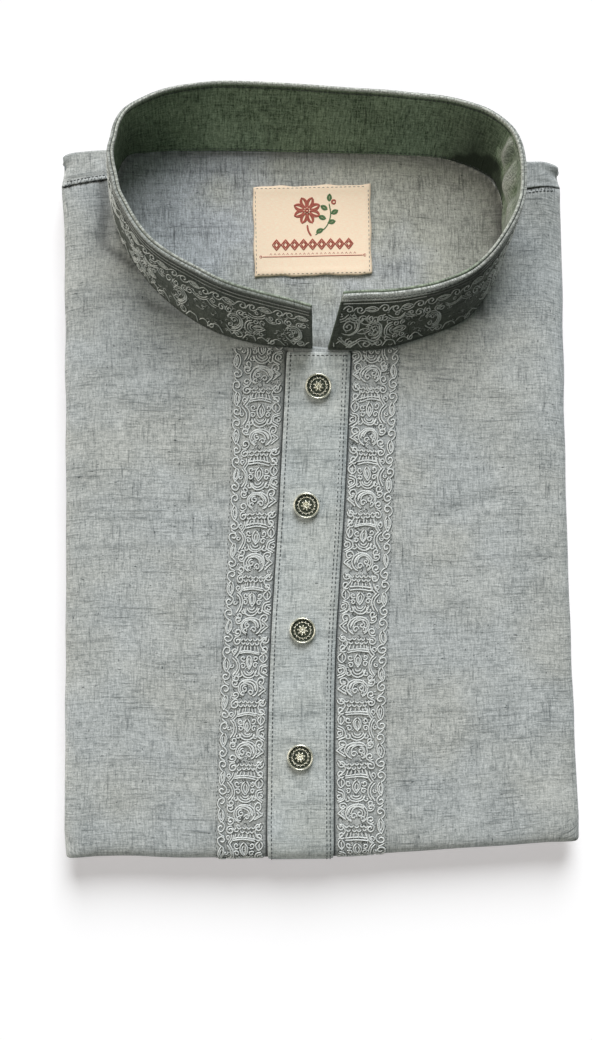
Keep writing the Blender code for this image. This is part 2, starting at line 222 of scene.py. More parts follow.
_tail = np.array(TAIL_ROLL)[::-1]
_knots = np.linspace(0, 1, len(_tail))
_fine = np.linspace(0, 1, 200)
_tail_in = smooth(list(zip(_knots, _tail[:, 0])), _fine)
_tail_drop = smooth(list(zip(_knots, _tail[:, 1])), _fine)
_tail_run = np.r_[0, np.cumsum(np.hypot(np.diff(_tail_in), np.diff(_tail_drop)))]


def front_map(p, q):
    """The front cloth's face. Below q = 14 the coordinate runs on round the tail."""
    p, q = np.broadcast_arrays(np.asarray(p, float), np.asarray(q, float))
    run = np.clip(FLAT_INSET - q, 0, _tail_run[-1])
    inset = np.where(q < FLAT_INSET, np.interp(run, _tail_run, _tail_in), q)
    drop = np.where(q < FLAT_INSET, np.interp(run, _tail_run, _tail_drop), 0.0)
    x, y = place(p, inset)
    fade = ease((q + 6) / 20.0)
    return np.stack([x, y, height(p, inset) - drop + relief(x, y) * fade], -1)


def unit(v):
    return v / np.maximum(np.linalg.norm(v, axis=-1, keepdims=True), 1e-9)


def front_frame(p, q, e=0.35):
    here = front_map(p, q)
    n = np.cross(front_map(np.asarray(p) + e, q) - front_map(np.asarray(p) - e, q),
                 front_map(p, np.asarray(q) + e) - front_map(p, np.asarray(q) - e))
    return here, unit(n)


# --------------------------------------------------------------- mesh making
def mesh_object(name, verts, quads=None, tris=None, cloth=None, mats=(), index=None,
                smooth_shade=True):
    """A mesh from numpy arrays in mm. cloth is each point's place in the cloth, mm; on cloth and thread pieces its
    third part, where given, is painted shade above nought and painted light below.
    """
    verts = np.asarray(verts, float)
    quads = np.zeros((0, 4), int) if quads is None else np.asarray(quads, int)
    tris = np.zeros((0, 3), int) if tris is None else np.asarray(tris, int)
    me = bpy.data.meshes.new(name)
    me.vertices.add(len(verts))
    me.vertices.foreach_set("co", (verts * MM).astype(np.float32).ravel())
    me.loops.add(quads.size + tris.size)
    me.loops.foreach_set("vertex_index", np.r_[quads.ravel(), tris.ravel()].astype(np.int32))
    me.polygons.add(len(quads) + len(tris))
    starts = np.r_[np.arange(len(quads)) * 4, quads.size + np.arange(len(tris)) * 3]
    me.polygons.foreach_set("loop_start", starts.astype(np.int32))
    if index is not None:
        me.polygons.foreach_set("material_index", np.asarray(index, np.int32))
    me.update(calc_edges=True)
    if cloth is not None:
        at = me.attributes.new("cloth", "FLOAT_VECTOR", "POINT")
        c = np.zeros((len(verts), 3), np.float32)
        cloth = np.asarray(cloth, float)
        c[:, :cloth.shape[1]] = cloth * MM
        at.data.foreach_set("vector", c.ravel())
    for m in mats:
        me.materials.append(m)
    if smooth_shade:
        me.shade_smooth()
    ob = bpy.data.objects.new(name, me)
    bpy.context.scene.collection.objects.link(ob)
    return ob


def grid_quads(n, m, wrap_n=False, wrap_m=False, base=0):
    i = np.arange(n if wrap_n else n - 1)
    j = np.arange(m if wrap_m else m - 1)
    i, j = np.meshgrid(i, j, indexing="ij")
    i2, j2 = (i + 1) % n, (j + 1) % m
    q = np.stack([i * m + j, i2 * m + j, i2 * m + j2, i * m + j2], -1).reshape(-1, 4)
    return q + base


def vertex_normals(verts, quads):
    a, b, c, d = (verts[quads[:, k]] for k in range(4))
    n = np.cross(c - a, d - b)
    out = np.zeros_like(verts)
    for k in range(4):
        np.add.at(out, quads[:, k], n)
    return unit(out)


def thicken(verts, quads, thick, cloth):
    """Closes a sheet of quads, facing out, with a second face thick mm behind."""
    used = np.unique(quads)
    remap = -np.ones(len(verts), int)
    remap[used] = np.arange(len(used))
    verts, quads, cloth = verts[used], remap[quads], cloth[used]
    n = vertex_normals(verts, quads)
    count = len(verts)
    edges = np.concatenate([quads[:, [0, 1]], quads[:, [1, 2]], quads[:, [2, 3]], quads[:, [3, 0]]])
    key = np.sort(edges, 1) @ np.array([count, 1])
    _, first, times = np.unique(key, return_index=True, return_counts=True)
    rim = edges[first[times == 1]]
    # walls join the two faces along the open edges
    walls = np.stack([rim[:, 1], rim[:, 0], rim[:, 0] + count, rim[:, 1] + count], 1)
    quads2 = np.concatenate([quads, quads[:, ::-1] + count, walls])
    return np.concatenate([verts, verts - n * thick]), quads2, np.concatenate([cloth, cloth])


class Tubes:
    """Many thin threads joined as one mesh."""

    def __init__(self, sides=5):
        self.sides, self.v, self.q, self.t, self.c, self.count = sides, [], [], [], [], 0

    def add(self, path, normal, radius, flat=1.0, taper=True, shade=0.0):
        path = np.asarray(path, float)
        k = len(path)
        if k < 2:
            return
        tangent = unit(np.gradient(path, axis=0))
        side = unit(np.cross(normal, tangent))
        up = unit(np.cross(tangent, side))
        a = np.arange(self.sides) / self.sides * 2 * math.pi + math.pi / 2
        r = np.full(k, radius)
        if taper:
            r[0] *= 0.55
            r[-1] *= 0.55
        ring = (path[:, None] + r[:, None, None] * (
            np.cos(a)[None, :, None] * side[:, None] + flat * np.sin(a)[None, :, None] * up[:, None]))
        run = np.r_[0, np.cumsum(np.linalg.norm(np.diff(path, axis=0), axis=1))]
        c = np.stack([np.repeat(run, self.sides), np.tile(np.arange(self.sides) * 0.4, k), np.full(k * self.sides, shade)], 1)
        base = self.count
        ends = np.array([path[0] - tangent[0] * radius * 0.5, path[-1] + tangent[-1] * radius * 0.5])
        self.v += [ring.reshape(-1, 3), ends]
        self.c += [c, np.array([[0, 0, shade], [run[-1], 0, shade]])]
        self.q.append(grid_quads(k, self.sides, wrap_m=True, base=base)[:, ::-1])
        s = np.arange(self.sides)
        s2 = (s + 1) % self.sides
        e0, e1 = base + k * self.sides, base + k * self.sides + 1
        self.t.append(np.stack([np.full(self.sides, e0), base + s, base + s2], 1))
        last = base + (k - 1) * self.sides
        self.t.append(np.stack([np.full(self.sides, e1), last + s2, last + s], 1))
        self.count = e1 + 1

    def object(self, name, mat):
        return mesh_object(name, np.concatenate(self.v), np.concatenate(self.q),
                           np.concatenate(self.t), np.concatenate(self.c), [mat])


# ------------------------------------------------------------------ materials
class Nodes:
    def __init__(self, name):
        self.mat = bpy.data.materials.new(name)
        self.mat.use_nodes = True
        self.nt = self.mat.node_tree
        self.bsdf = self.nt.nodes["Principled BSDF"]

    def new(self, kind, **props):
        n = self.nt.nodes.new(kind)
        for k, v in props.items():
            setattr(n, k, v)
        return n

    def link(self, a, b):
        self.nt.links.new(a, b)

    def cloth(self, scale, turn=0.0, shift=(0, 0, 0)):
        """Place in the cloth, in metres, stretched by scale."""
        if not hasattr(self, "_attr"):
            self._attr = self.new("ShaderNodeAttribute", attribute_name="cloth")
        m = self.new("ShaderNodeMapping")
        m.inputs["Scale"].default_value = scale
        m.inputs["Rotation"].default_value = (0, 0, turn)
        m.inputs["Location"].default_value = shift
        self.link(self._attr.outputs["Vector"], m.inputs["Vector"])
        return m.outputs["Vector"]

    def noise(self, vector, detail=2.0, rough=0.5, scale=1.0):
        n = self.new("ShaderNodeTexNoise")
        n.inputs["Scale"].default_value = scale
        n.inputs["Detail"].default_value = detail
        n.inputs["Roughness"].default_value = rough
        self.link(vector, n.inputs["Vector"])
        return n.outputs["Fac"]

    def remap(self, value, a, b, c=0.0, d=1.0):
        n = self.new("ShaderNodeMapRange")
        n.inputs["From Min"].default_value = a
        n.inputs["From Max"].default_value = b
        n.inputs["To Min"].default_value = c
        n.inputs["To Max"].default_value = d
        self.link(value, n.inputs["Value"])
        return n.outputs["Result"]

    def math(self, op, a, b=None, c=None):
        n = self.new("ShaderNodeMath", operation=op)
        for k, v in enumerate((a, b, c)):
            if v is None:
                continue
            if isinstance(v, (int, float)):
                n.inputs[k].default_value = v
            else:
                self.link(v, n.inputs[k])
        return n.outputs[0]

    def mix(self, fac, a, b):
        n = self.new("ShaderNodeMix", data_type="RGBA")
        for sock, v in ((n.inputs[0], fac), (n.inputs[6], a), (n.inputs[7], b)):
            if isinstance(v, (int, float)):
                sock.default_value = v
            elif isinstance(v, tuple):
                sock.default_value = (*v, 1.0)
            else:
                self.link(v, sock)
        return n.outputs[2]

    def bump(self, high, strength, distance, under=None):
        n = self.new("ShaderNodeBump")
        n.inputs["Strength"].default_value = strength
        n.inputs["Distance"].default_value = distance
        self.link(high, n.inputs["Height"])
        if under is not None:
            self.link(under, n.inputs["Normal"])
        return n.outputs["Normal"]


def chambray(name, light, mid, dark, slub=1.0, bump=1.0, turn=0.0, sheen=0.12,
             streaks=(1.0, 0.8), yarns=(0.5, 0.5), tint=((0.985, 1.0, 1.022), (1.010, 1.0, 0.976)), pale=None, lean=0.0):
    """Plain weave of uneven yarn: light ground, darker slubs both ways.

    The third part of the cloth's place is painted shade where it is above nought, which darkens it, and painted light
    where it is below, which turns it pale.
    """
    k = Nodes(name)
    weft = k.noise(k.cloth((230, 1250, 0), turn), 2.0, 0.6)
    warp = k.noise(k.cloth((1250, 210, 0), 0.0, (3, 5, 0)), 2.0, 0.6)
    fine = k.noise(k.cloth((1350, 1350, 0), 0.0, (7, 1, 0)), 1.0, 0.6)
    weft_slub = k.noise(k.cloth((62, 820, 0), turn, (9, 2, 0)), 2.0, 0.6)
    warp_slub = k.noise(k.cloth((820, 66, 0), 0.0, (4, 8, 0)), 2.0, 0.6)
    patch = k.noise(k.cloth((30, 62, 0), turn, (2, 2, 0)), 3.0, 0.6)
    patch_v = k.noise(k.cloth((85, 26, 0), 0.0, (8, 3, 0)), 3.0, 0.6)
    band = k.noise(k.cloth((11, 330, 0), turn, (1, 9, 0)), 2.0, 0.6)
    hue = k.noise(k.cloth((19, 23, 0), 0.0, (6, 1, 0)), 2.0, 0.5)
    # slubs come in patches, not evenly
    a = k.math("MULTIPLY", k.remap(weft_slub, 0.53, 0.72), k.remap(patch, 0.40, 0.64, 0.15, 1.0))
    b = k.math("MULTIPLY", k.remap(warp_slub, 0.55, 0.74), k.remap(patch_v, 0.40, 0.64, 0.15, 1.0))
    thick = k.math("MAXIMUM", k.math("MULTIPLY", a, streaks[0]), k.math("MULTIPLY", b, streaks[1]))
    thick = k.math("MULTIPLY_ADD", k.remap(band, 0.54, 0.72), 0.4 * streaks[0], thick)
    knot = k.noise(k.cloth((330, 900, 0), turn, (5, 7, 0)), 1.0, 0.5)
    knot_v = k.noise(k.cloth((900, 330, 0), 0.0, (2, 6, 0)), 1.0, 0.5)
    knots = k.math("MAXIMUM", k.remap(knot, 0.70, 0.80), k.remap(knot_v, 0.71, 0.81))
    thick = k.math("MULTIPLY_ADD", knots, 0.9, thick)
    ground = k.math("MULTIPLY_ADD", weft, yarns[0], k.math("MULTIPLY", warp, yarns[1]))
    tone = k.remap(ground, 0.38, 0.62, 0.0, 1.0)
    tone = k.math("MULTIPLY_ADD", k.math("SUBTRACT", fine, 0.5), 1.5, tone)
    tone = k.math("MULTIPLY_ADD", k.math("SUBTRACT", patch, 0.5), -0.8, tone)
    tone = k.math("MULTIPLY_ADD", k.math("SUBTRACT", patch_v, 0.5), -0.6, tone)
    tone = k.remap(tone, -0.25, 1.25)
    colour = k.mix(tone, mid, light)
    colour = k.mix(k.remap(thick, 0.0, 1.3, 0.0, slub), colour, dark)
    if lean:                   # one side of the cloth is cooler than the other
        across = k.new("ShaderNodeSeparateXYZ")
        k.link(k._attr.outputs["Vector"], across.inputs[0])
        hue = k.math("MULTIPLY_ADD", across.outputs[0], lean, hue)
    cast = k.mix(k.remap(hue, 0.38, 0.62), *tint)
    mult = k.new("ShaderNodeMix", data_type="RGBA", blend_type="MULTIPLY")
    mult.inputs[0].default_value = 1.0
    k.link(colour, mult.inputs[6])
    k.link(cast, mult.inputs[7])
    colour = mult.outputs[2]
    # painted shade darkens the colour towards a dark copy of mid; painted light turns it to the pale colour
    part = k.new("ShaderNodeSeparateXYZ")
    k.link(k._attr.outputs["Vector"], part.inputs[0])
    shade = k.math("MULTIPLY", part.outputs[2], 1000.0)
    colour = k.mix(k.remap(shade, 0.0, 1.0), colour, tuple(c * 0.28 for c in mid))
    if pale is not None:
        colour = k.mix(k.remap(shade, 0.0, -1.0), colour, k.mix(k.remap(fine, 0.42, 0.58), tuple(c * 0.5 for c in pale), pale))
    k.link(colour, k.bsdf.inputs["Base Color"])
    high = k.math("MULTIPLY_ADD", thick, 0.8, k.math("MULTIPLY_ADD", fine, 0.4, ground))
    k.link(k.bump(high, 0.6 * bump, 0.0003), k.bsdf.inputs["Normal"])
    k.link(k.remap(ground, 0.3, 0.7, 0.92, 0.8), k.bsdf.inputs["Roughness"])
    k.bsdf.inputs["Specular IOR Level"].default_value = 0.25
    k.bsdf.inputs["Sheen Weight"].default_value = sheen
    k.bsdf.inputs["Sheen Roughness"].default_value = 0.5
    return k.mat


def thread_material(name, light, dark):
    k = Nodes(name)
    twist = k.noise(k.cloth((2400, 900, 0), 0.6), 1.0, 0.5)
    patch = k.noise(k.cloth((160, 40, 0)), 2.0, 0.5)
    tone = k.math("MULTIPLY_ADD", twist, 0.7, k.math("MULTIPLY", patch, 0.5))
    # the third part of the thread's place is painted shade, darkening the thread
    part = k.new("ShaderNodeSeparateXYZ")
    k.link(k._attr.outputs["Vector"], part.inputs[0])
    shade = k.math("MULTIPLY", part.outputs[2], 1000.0)
    colour = k.mix(k.remap(shade, 0.0, 1.0), k.mix(k.remap(tone, 0.35, 0.8), dark, light), tuple(c * 0.12 for c in dark))
    k.link(colour, k.bsdf.inputs["Base Color"])
    k.link(k.bump(twist, 0.5, 0.0002), k.bsdf.inputs["Normal"])
    k.bsdf.inputs["Roughness"].default_value = 0.62
    k.bsdf.inputs["Specular IOR Level"].default_value = 0.35
    k.bsdf.inputs["Sheen Weight"].default_value = 0.15
    return k.mat


BODY = chambray("chambray_body", (0.595, 0.607, 0.602), (0.228, 0.243, 0.243), (0.064, 0.075, 0.08), turn=-0.03,
                bump=1.2, streaks=(0.72, 0.86))
INSIDE = chambray("chambray_inside", (0.65, 0.655, 0.65), (0.235, 0.242, 0.238), (0.055, 0.060, 0.062), bump=1.3,
                  streaks=(0.7, 1.1), yarns=(0.35, 0.65), tint=((0.965, 0.99, 1.06), (1.01, 1.0, 0.925)), lean=2.6)
PLACKET_CLOTH = chambray("chambray_placket", (0.63, 0.655, 0.655), (0.265, 0.288, 0.29), (0.08, 0.095, 0.10), turn=0.02,
                         streaks=(0.8, 0.9))
# the band is the body's cloth: these darker colours are partly painted shade for the shade the band stands in, and the
# pale colours are painted light on its lit rims and wall
BAND_OUT_WITH_PAINTED_SHADE = chambray("chambray_band", (0.122, 0.134, 0.115), (0.036, 0.043, 0.033), (0.012, 0.016, 0.012), bump=1.6,
                    pale=(0.62, 0.64, 0.62))
BAND_IN_WITH_PAINTED_SHADE = chambray("chambray_band_inside", (0.30, 0.38, 0.27), (0.042, 0.069, 0.036), (0.016, 0.026, 0.015),
                   bump=1.8, streaks=(0.6, 1.0), yarns=(0.4, 0.6), pale=(0.60, 0.61, 0.575))
THREAD = thread_material("embroidery_thread", (0.84, 0.855, 0.85), (0.40, 0.42, 0.42))
# dark thread for painted shadows under and between the embroidered cords, and for dark dots along the strips' edge
DARK_THREAD_AND_PAINTED_SHADOW = thread_material("embroidery_shadow_thread", (0.085, 0.095, 0.092), (0.03, 0.036, 0.035))
THREAD_BAND = thread_material("embroidery_thread_band", (0.90, 0.92, 0.90), (0.22, 0.24, 0.22))
# dark sewing thread, also used for the painted shadows along the shoulder seams
STITCH_AND_SEAM_SHADOW = thread_material("sewing_thread", (0.05, 0.058, 0.06), (0.022, 0.026, 0.028))

# ------------------------------------------------------------------ the collar
_rows = np.array([r[1:] for r in COLLAR], float)
_run = np.r_[0, np.cumsum(np.hypot(*np.diff(_rows[:, :2], axis=0).T))]
COLLAR_RUN = _run[-1]


def collar_base(s):
    """Seam point and the way the cloth rises from it, s mm along the seam."""
    x, y, lx, ly = (smooth(list(zip(_run, _rows[:, k])), s) for k in range(4))
    wob = 0.5 * np.sin(s * 0.041 + 1.0) + 0.35 * np.sin(s * 0.093 + 2.2)
    edge = ease(s / 20) * ease((COLLAR_RUN - s) / 20)
    ly = ly + wob * edge
    rise = np.sqrt(BAND_H ** 2 - lx ** 2 - ly ** 2)
    p, q = nominal(x, y)
    z = height(np.clip(p, 0, PACKET_W), np.clip(q, 0, PACKET_L)) + BAND_LIFT
    return np.stack([x, y, z], -1), np.stack([lx, ly, rise], -1) / BAND_H


# soft folds across the band: place along it, half width, height
BAND_FOLDS = [  # s, width, height
    (118.0, 5.0, 0.8), (141.0, 4.0, -0.7), (62.0, 9.0, -0.5), (418.0, 8.0, 0.6), (232.0, 14.0, 0.5)]
LEFT_SHOULDER = float(_run[[r[0] for r in COLLAR].index("left_shoulder")])
INNER_FOLDS = [  # past the left shoulder, width, height inwards, level of the middle, spread
    (2.6, 2.2, 3.6, 25.0, 9.0), (12.0, 5.5, 4.4, 15.5, 7.0), (6.4, 1.8, -2.2, 20.0, 4.5),
    (17.5, 2.2, -1.8, 19.0, 5.0), (22.5, 2.0, 1.3, 16.0, 5.0), (10.0, 1.5, 1.2, 23.0, 4.0), (-15.0, 4.0, 1.3, 16.0, 10.0), (27.0, 6.0, 1.8, 12.0, 10.0),
    (-212.0, 5.0, 1.6, 12.0, 10.0), (-224.0, 4.0, -1.0, 12.0, 10.0)]
RIGHT_CORNER = float(_run[[r[0] for r in COLLAR].index("right_corner")])


def collar_map(s, t, off):
    """Point of the band s mm along, t mm up the cloth, off mm outwards."""
    s, t, off = np.broadcast_arrays(np.asarray(s, float), np.asarray(t, float), np.asarray(off, float))
    seam, rise = collar_base(s)
    ahead, _ = collar_base(s + 0.5)
    behind, _ = collar_base(s - 0.5)
    along = unit(ahead - behind)
    out = unit(np.cross(rise, along))
    swell = 0.7 * np.sin(math.pi * np.clip(t / BAND_H, 0, 1))
    for at, width, high in BAND_FOLDS:
        swell = swell + high * np.exp(-((s - at) / width) ** 2) * ease(t / 12) * (0.4 + 0.6 * t / BAND_H)
    return seam + rise * t[..., None] + out * (off + swell)[..., None]


def collar_frame(s, t, off, e=0.4):
    here = collar_map(s, t, off)
    along = collar_map(s + e, t, off) - collar_map(s - e, t, off)
    up = collar_map(s, t + e, off) - collar_map(s, t - e, off)
    return here, unit(np.cross(up, along))


def outward_sign():
    s = np.array([40.0])
    seam, _ = collar_base(s)
    a = collar_map(s, 10.0, 1.0) - collar_map(s, 10.0, 0.0)
    return 1.0 if a[0, 1] < 0 else -1.0


OUT = outward_sign()


def band_shade(s):
    """Painted shade on the band towards its right end, where it turns away from the light and lies in folds."""
    back = COLLAR_RUN - np.asarray(s, float)
    return (0.34 * np.exp(-((back - 70) / 24.0) ** 2) + 0.07 * ease((100 - back) / 30)
            + 0.10 * np.sin(back * 0.42) * np.exp(-((back - 66) / 20.0) ** 2))


def band_ply(name, low, high, top, bottom, mat, node):
    """One ply of the band with turned, rounded edges and a thick roll along its top."""
    s = np.r_[np.linspace(0.0, 1.2, 5), np.linspace(1.2, COLLAR_RUN - 1.2, 380)[1:-1],
              np.linspace(COLLAR_RUN - 1.2, COLLAR_RUN, 5)]
    thick = high - low
    mid, half = (high + low) / 2, thick / 2
    rows = 34
    t = bottom + half + (top - half - bottom - half) * np.linspace(0, 1, rows) ** 0.8
    a = np.linspace(0, math.pi, 7)[1:-1]
    ts = np.r_[t, top - half + half * np.sin(a), t[::-1], bottom + half - half * np.sin(a)]
    os = np.r_[np.full(rows, 1.0), np.cos(a), np.full(rows, -1.0), -np.cos(a)]
    # the ends are turned edges too
    d = np.minimum(s, COLLAR_RUN - s)
    pinch = np.sqrt(np.clip(1 - (1 - np.clip(d / 1.2, 0, 1)) ** 2, 0.03, 1))
    away = 1.0 if mid > 0 else -1.0
    face = half * pinch[:, None] * os[None, :]
    # the roll at the top stands out on its own side only
    roll = np.exp(-((ts - (top - 1.3)) / 1.25) ** 2) * (os * away > -0.2)
    face = face + away * 0.55 * roll[None, :] * pinch[:, None]
    # the line of stitches below it pulls the ply in
    face = face - away * 0.22 * np.exp(-((ts - (top - 3.0)) / 0.45) ** 2)[None, :] * (os * away > 0.2)
    if away < 0:
        fold = np.zeros((len(s), len(ts)))
        for past, width, high, level, spread in INNER_FOLDS:
            fold = fold + high * np.exp(-((s[:, None] - LEFT_SHOULDER - past) / width) ** 2
                                        - ((ts[None, :] - level) / spread) ** 2)
        crumple = 0.5 * waves(s[:, None] + 0 * ts, ts[None, :] * 0.7 + 0 * s[:, None], 13, 91)
        fold = fold + crumple * ease((s[:, None] - LEFT_SHOULDER + 4) / 6) * ease((LEFT_SHOULDER + 50 - s[:, None]) / 30)
        face = face - fold * ease((top - 1.5 - ts[None, :]) / 5)
    grid = collar_map(s[:, None], ts[None, :], OUT * (mid + face))
    n, m = grid.shape[:2]
    quads = grid_quads(n, m, wrap_m=True)
    if OUT < 0:
        quads = quads[:, ::-1]
    # colour marks of each ply: the pale rim along the top is painted light on the lit roll, with thin dark lines below
    # it
    if away > 0:
        mark = (-0.60 * ease((ts - (top - 1.1)) / 0.4) - 0.05 * ease((ts - (top - 4.4)) / 0.5)
                + 0.55 * np.exp(-((ts - (top - 2.1)) / 0.35) ** 2) + 0.5 * np.exp(-((ts - (top - 4.6)) / 0.4) ** 2))
    else:
        mark = -0.85 * ease((ts - (top - 1.5)) / 0.5) + 0.9 * np.exp(-((ts - (top - 2.5)) / 0.5) ** 2)
    mark = np.tile(mark, (n, 1))
    if away < 0:
        # on the inner ply: the lit part of the wall past the left shoulder is painted light, paler on its fold ridges
        # and darker in their hollows, with random pale patches; painted shade lies in the hollow before it and in the
        # inner corner on the other side, and the pale rim is weakened near the ends
        past = s[:, None] - LEFT_SHOULDER
        level = ts[None, :]
        swing = (3.6 * np.exp(-((level - 17) / 5.5) ** 2) - 1.6 * np.exp(-((level - 9) / 2.6) ** 2)
                 + 1.8 * np.exp(-((level - 3) / 2.6) ** 2))
        painted_lit_wall = ease((past + 0.4 + swing) / 1.6) * ease((62 - past) / 30.0)
        low = 1 - level / BAND_H
        hollow = 0.95 * np.exp(-((past + 12) / 15.0) ** 2) * low ** 0.45 + 0.5 * np.exp(-((s[:, None] - RIGHT_CORNER) / 13.0) ** 2) * low
        # painted shadow in the recess under the fold, up to a slanting edge
        edge = 16.5 - 0.50 * np.abs(past - 1.0) + 1.0 * np.sin(past * 0.9)
        deep = 0.9 * ease((edge - level) / 7.5) * ease((past + 34) / 14) * ease((15 - past) / 6)
        patchy = waves(s[:, None] + 0 * ts, level * 0.8 + 0 * s[:, None], 9, 93) + 0.6 * waves(s[:, None] + 0 * ts, level + 0 * s[:, None], 4, 94)
        tone = (-0.17 + 0.17 * patchy) * painted_lit_wall - 0.22 * np.clip(fold, -2.5, 2.5) * painted_lit_wall
        mark = np.where(mark > -0.05, mark + tone * (1 - deep) + hollow * (1 - painted_lit_wall) + deep,
                        mark * (1 - 0.55 * ease((60 - s[:, None]) / 20) - 0.75 * ease((s[:, None] - COLLAR_RUN + 85) / 15)))
        mark = np.clip(mark, -1, 1)
    else:
        mark = np.where(mark < 0, mark * (1 - 0.6 * ease((62 - s[:, None]) / 20)), mark)
        # a broader pale band of painted light along the top at the right end, ribbed across, with a thin dark line in
        # it and one below it
        rib = 0.10 * np.sign(np.sin(s[:, None] * 2.6))
        bound = (-(0.92 + rib) * ease((ts[None, :] - (top - 4.2)) / 0.4)
                 + 0.50 * np.exp(-((ts[None, :] - (top - 2.3)) / 0.25) ** 2) + 0.6 * np.exp(-((ts[None, :] - (top - 4.8)) / 0.4) ** 2))
        part = ease((s[:, None] - COLLAR_RUN + 78) / 34)
        mark = mark * (1 - part) + bound * part
        # painted shade towards the right end, where the band turns away from the light
        mark = np.clip(np.where(mark >= -0.3, mark + 0.5 * band_shade(s)[:, None], mark), -1, 1)
    cloth = np.stack([np.repeat(s, m), np.tile(ts, n), mark.ravel()], 1)
    verts = grid.reshape(-1, 3)
    caps = []
    for row, flip in ((0, False), (n - 1, True)):
        centre = verts[row * m:(row + 1) * m].mean(0)
        k = len(verts)
        verts = np.concatenate([verts, centre[None]])
        cloth = np.concatenate([cloth, cloth[row * m][None]])
        i = np.arange(m)
        tri = np.stack([np.full(m, k), row * m + i, row * m + (i + 1) % m], 1)
        caps.append(tri[:, ::-1] if flip != (OUT < 0) else tri)
    ob = mesh_object(name, verts, quads, np.concatenate(caps), cloth, [mat])
    fix_normals(ob)
    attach(ob, "root")
    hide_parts(node)
    return ob


def fix_normals(ob):
    """Turns a closed mesh right side out."""
    me = ob.data
    me.calc_loop_triangles()
    v = np.zeros(len(me.vertices) * 3)
    me.vertices.foreach_get("co", v)
    v = v.reshape(-1, 3)
    t = np.zeros(len(me.loop_triangles) * 3, int)
    me.loop_triangles.foreach_get("vertices", t)
    t = t.reshape(-1, 3)
    volume = np.einsum("ij,ij->i", v[t[:, 0]], np.cross(v[t[:, 1]], v[t[:, 2]])).sum()
    if volume < 0:
        me.flip_normals()


def neck_line():
    """The cut edge of the neck, a closed loop in plan."""
    s = np.linspace(0, COLLAR_RUN, 260)
    seam, _ = collar_base(s)
    tangent = unit(np.gradient(seam[:, :2], axis=0))
    inward = np.stack([tangent[:, 1], -tangent[:, 0]], 1)
    return seam[:, :2] + inward * NECK_INSET


NECK = neck_line()


def inside_neck(x, y):
    """True inside the loop, and the nearest point on it."""
    pts = np.stack([np.ravel(x), np.ravel(y)], 1)
    a, b = NECK, np.roll(NECK, -1, 0)
    inside = np.zeros(len(pts), bool)
    near = np.full(len(pts), 1e9)
    foot = np.zeros_like(pts)
    box = ((pts[:, 0] > NECK[:, 0].min() - 12) & (pts[:, 0] < NECK[:, 0].max() + 12)
           & (pts[:, 1] > NECK[:, 1].min() - 12) & (pts[:, 1] < NECK[:, 1].max() + 12))
    idx = np.where(box)[0]
    for lo in range(0, len(idx), 4000):
        k = idx[lo:lo + 4000]
        p = pts[k][:, None]
        d = b - a
        t = np.clip(((p - a) * d).sum(-1) / (d * d).sum(-1), 0, 1)
        f = a + t[..., None] * d
        dist = np.linalg.norm(p - f, axis=-1)
        best = dist.argmin(1)
        near[k] = dist[np.arange(len(k)), best]
        foot[k] = f[np.arange(len(k)), best]
        cross = ((a[:, 1] > p[..., 1]) != (b[:, 1] > p[..., 1])) & (
            p[..., 0] < (b[:, 0] - a[:, 0]) * (p[..., 1] - a[:, 1]) / (b[:, 1] - a[:, 1] + 1e-12) + a[:, 0])
        inside[k] = cross.sum(1) % 2 == 1
    return inside, near, foot


def cut_neck(verts, quads, inside, foot, level):
    """Drops the faces inside the neck and brings the edge onto its line."""
    some = inside[quads].any(1)
    every = inside[quads].all(1)
    keep = quads[~every]
    edge = np.unique(quads[some & ~every])
    edge = edge[inside[edge]]
    verts[edge, 0], verts[edge, 1] = foot[edge, 0], foot[edge, 1]
    if level is not None:
        verts[edge, 2] = level(foot[edge, 0], foot[edge, 1])
    return verts, keep


# ------------------------------------------------------------- the front cloth
def corner(a, b):
    m = np.maximum(np.maximum(a, b), 1e-9)
    k = 1.0 / np.maximum((a / m) ** CORNER_POWER + (b / m) ** CORNER_POWER, 1) ** (1 / CORNER_POWER)
    k = 1 - (1 - k) * np.minimum(a, b) / m
    return a * k, b * k


def roll_value(table, column, r):
    knots = np.linspace(0, 1, len(table))
    return smooth([(k, row[column]) for k, row in zip(knots, table)], r)


def front_shade(x, y):
    """Painted shade on the front cloth: in the gaps beside the placket's edges, on the ground under the embroidery and
    most just below the collar, in the valleys beside the neck and by the collar's right end, and broadly on the upper
    left.
    """
    yc = np.clip(y, -182, 60)
    on = ease((62.0 - y) / 2.0)
    left, right = smooth(PLACKET, yc, 1), smooth(PLACKET, yc, 2)
    a = np.exp(-((left - 0.35 - x) / 0.75) ** 2) + np.exp(-((x - right - 0.35) / 0.75) ** 2)
    li, lo, ri, ro = (smooth(STRIPS, yc, c) for c in (1, 2, 3, 4))
    b = ease((x - lo + 1.2) / 1.4) * ease((left + 0.6 - x) / 1.0) + ease((ro + 1.2 - x) / 1.4) * ease((x - right + 0.6) / 1.0)
    # painted shade in the valleys beside the neck where the cloth is drawn together, and a painted shadow by the
    # collar's right end
    v = 0.0
    for x0, y0, x1, y1, width, deep in ((-103, 142, -103.5, 111, 3.2, 0.46), (-102.3, 109.5, -87, 99.5, 1.4, 0.60),
                                        (-83, 83, -65, 77, 1.4, 0.42), (74.5, 100, 76.5, 78, 2.0, 0.62)):
        t = np.clip(((x - x0) * (x1 - x0) + (y - y0) * (y1 - y0)) / ((x1 - x0) ** 2 + (y1 - y0) ** 2), 0, 1)
        away = np.hypot(x - x0 - t * (x1 - x0), y - y0 - t * (y1 - y0)) / width
        v = np.maximum(v, deep * np.exp(-away ** 2) + 0.2 * deep * np.exp(-(away / 3.2) ** 2))
    # a broad painted shade on the upper left, beside the collar
    v = v + 0.085 * np.exp(-((x + 96) / 26.0) ** 2) * ease((y - 10) / 90)
    return np.clip(on * (1.25 * a + (0.13 + 0.20 * np.exp(-((y - 61) / 9.0) ** 2)) * b) + v, 0, 1)


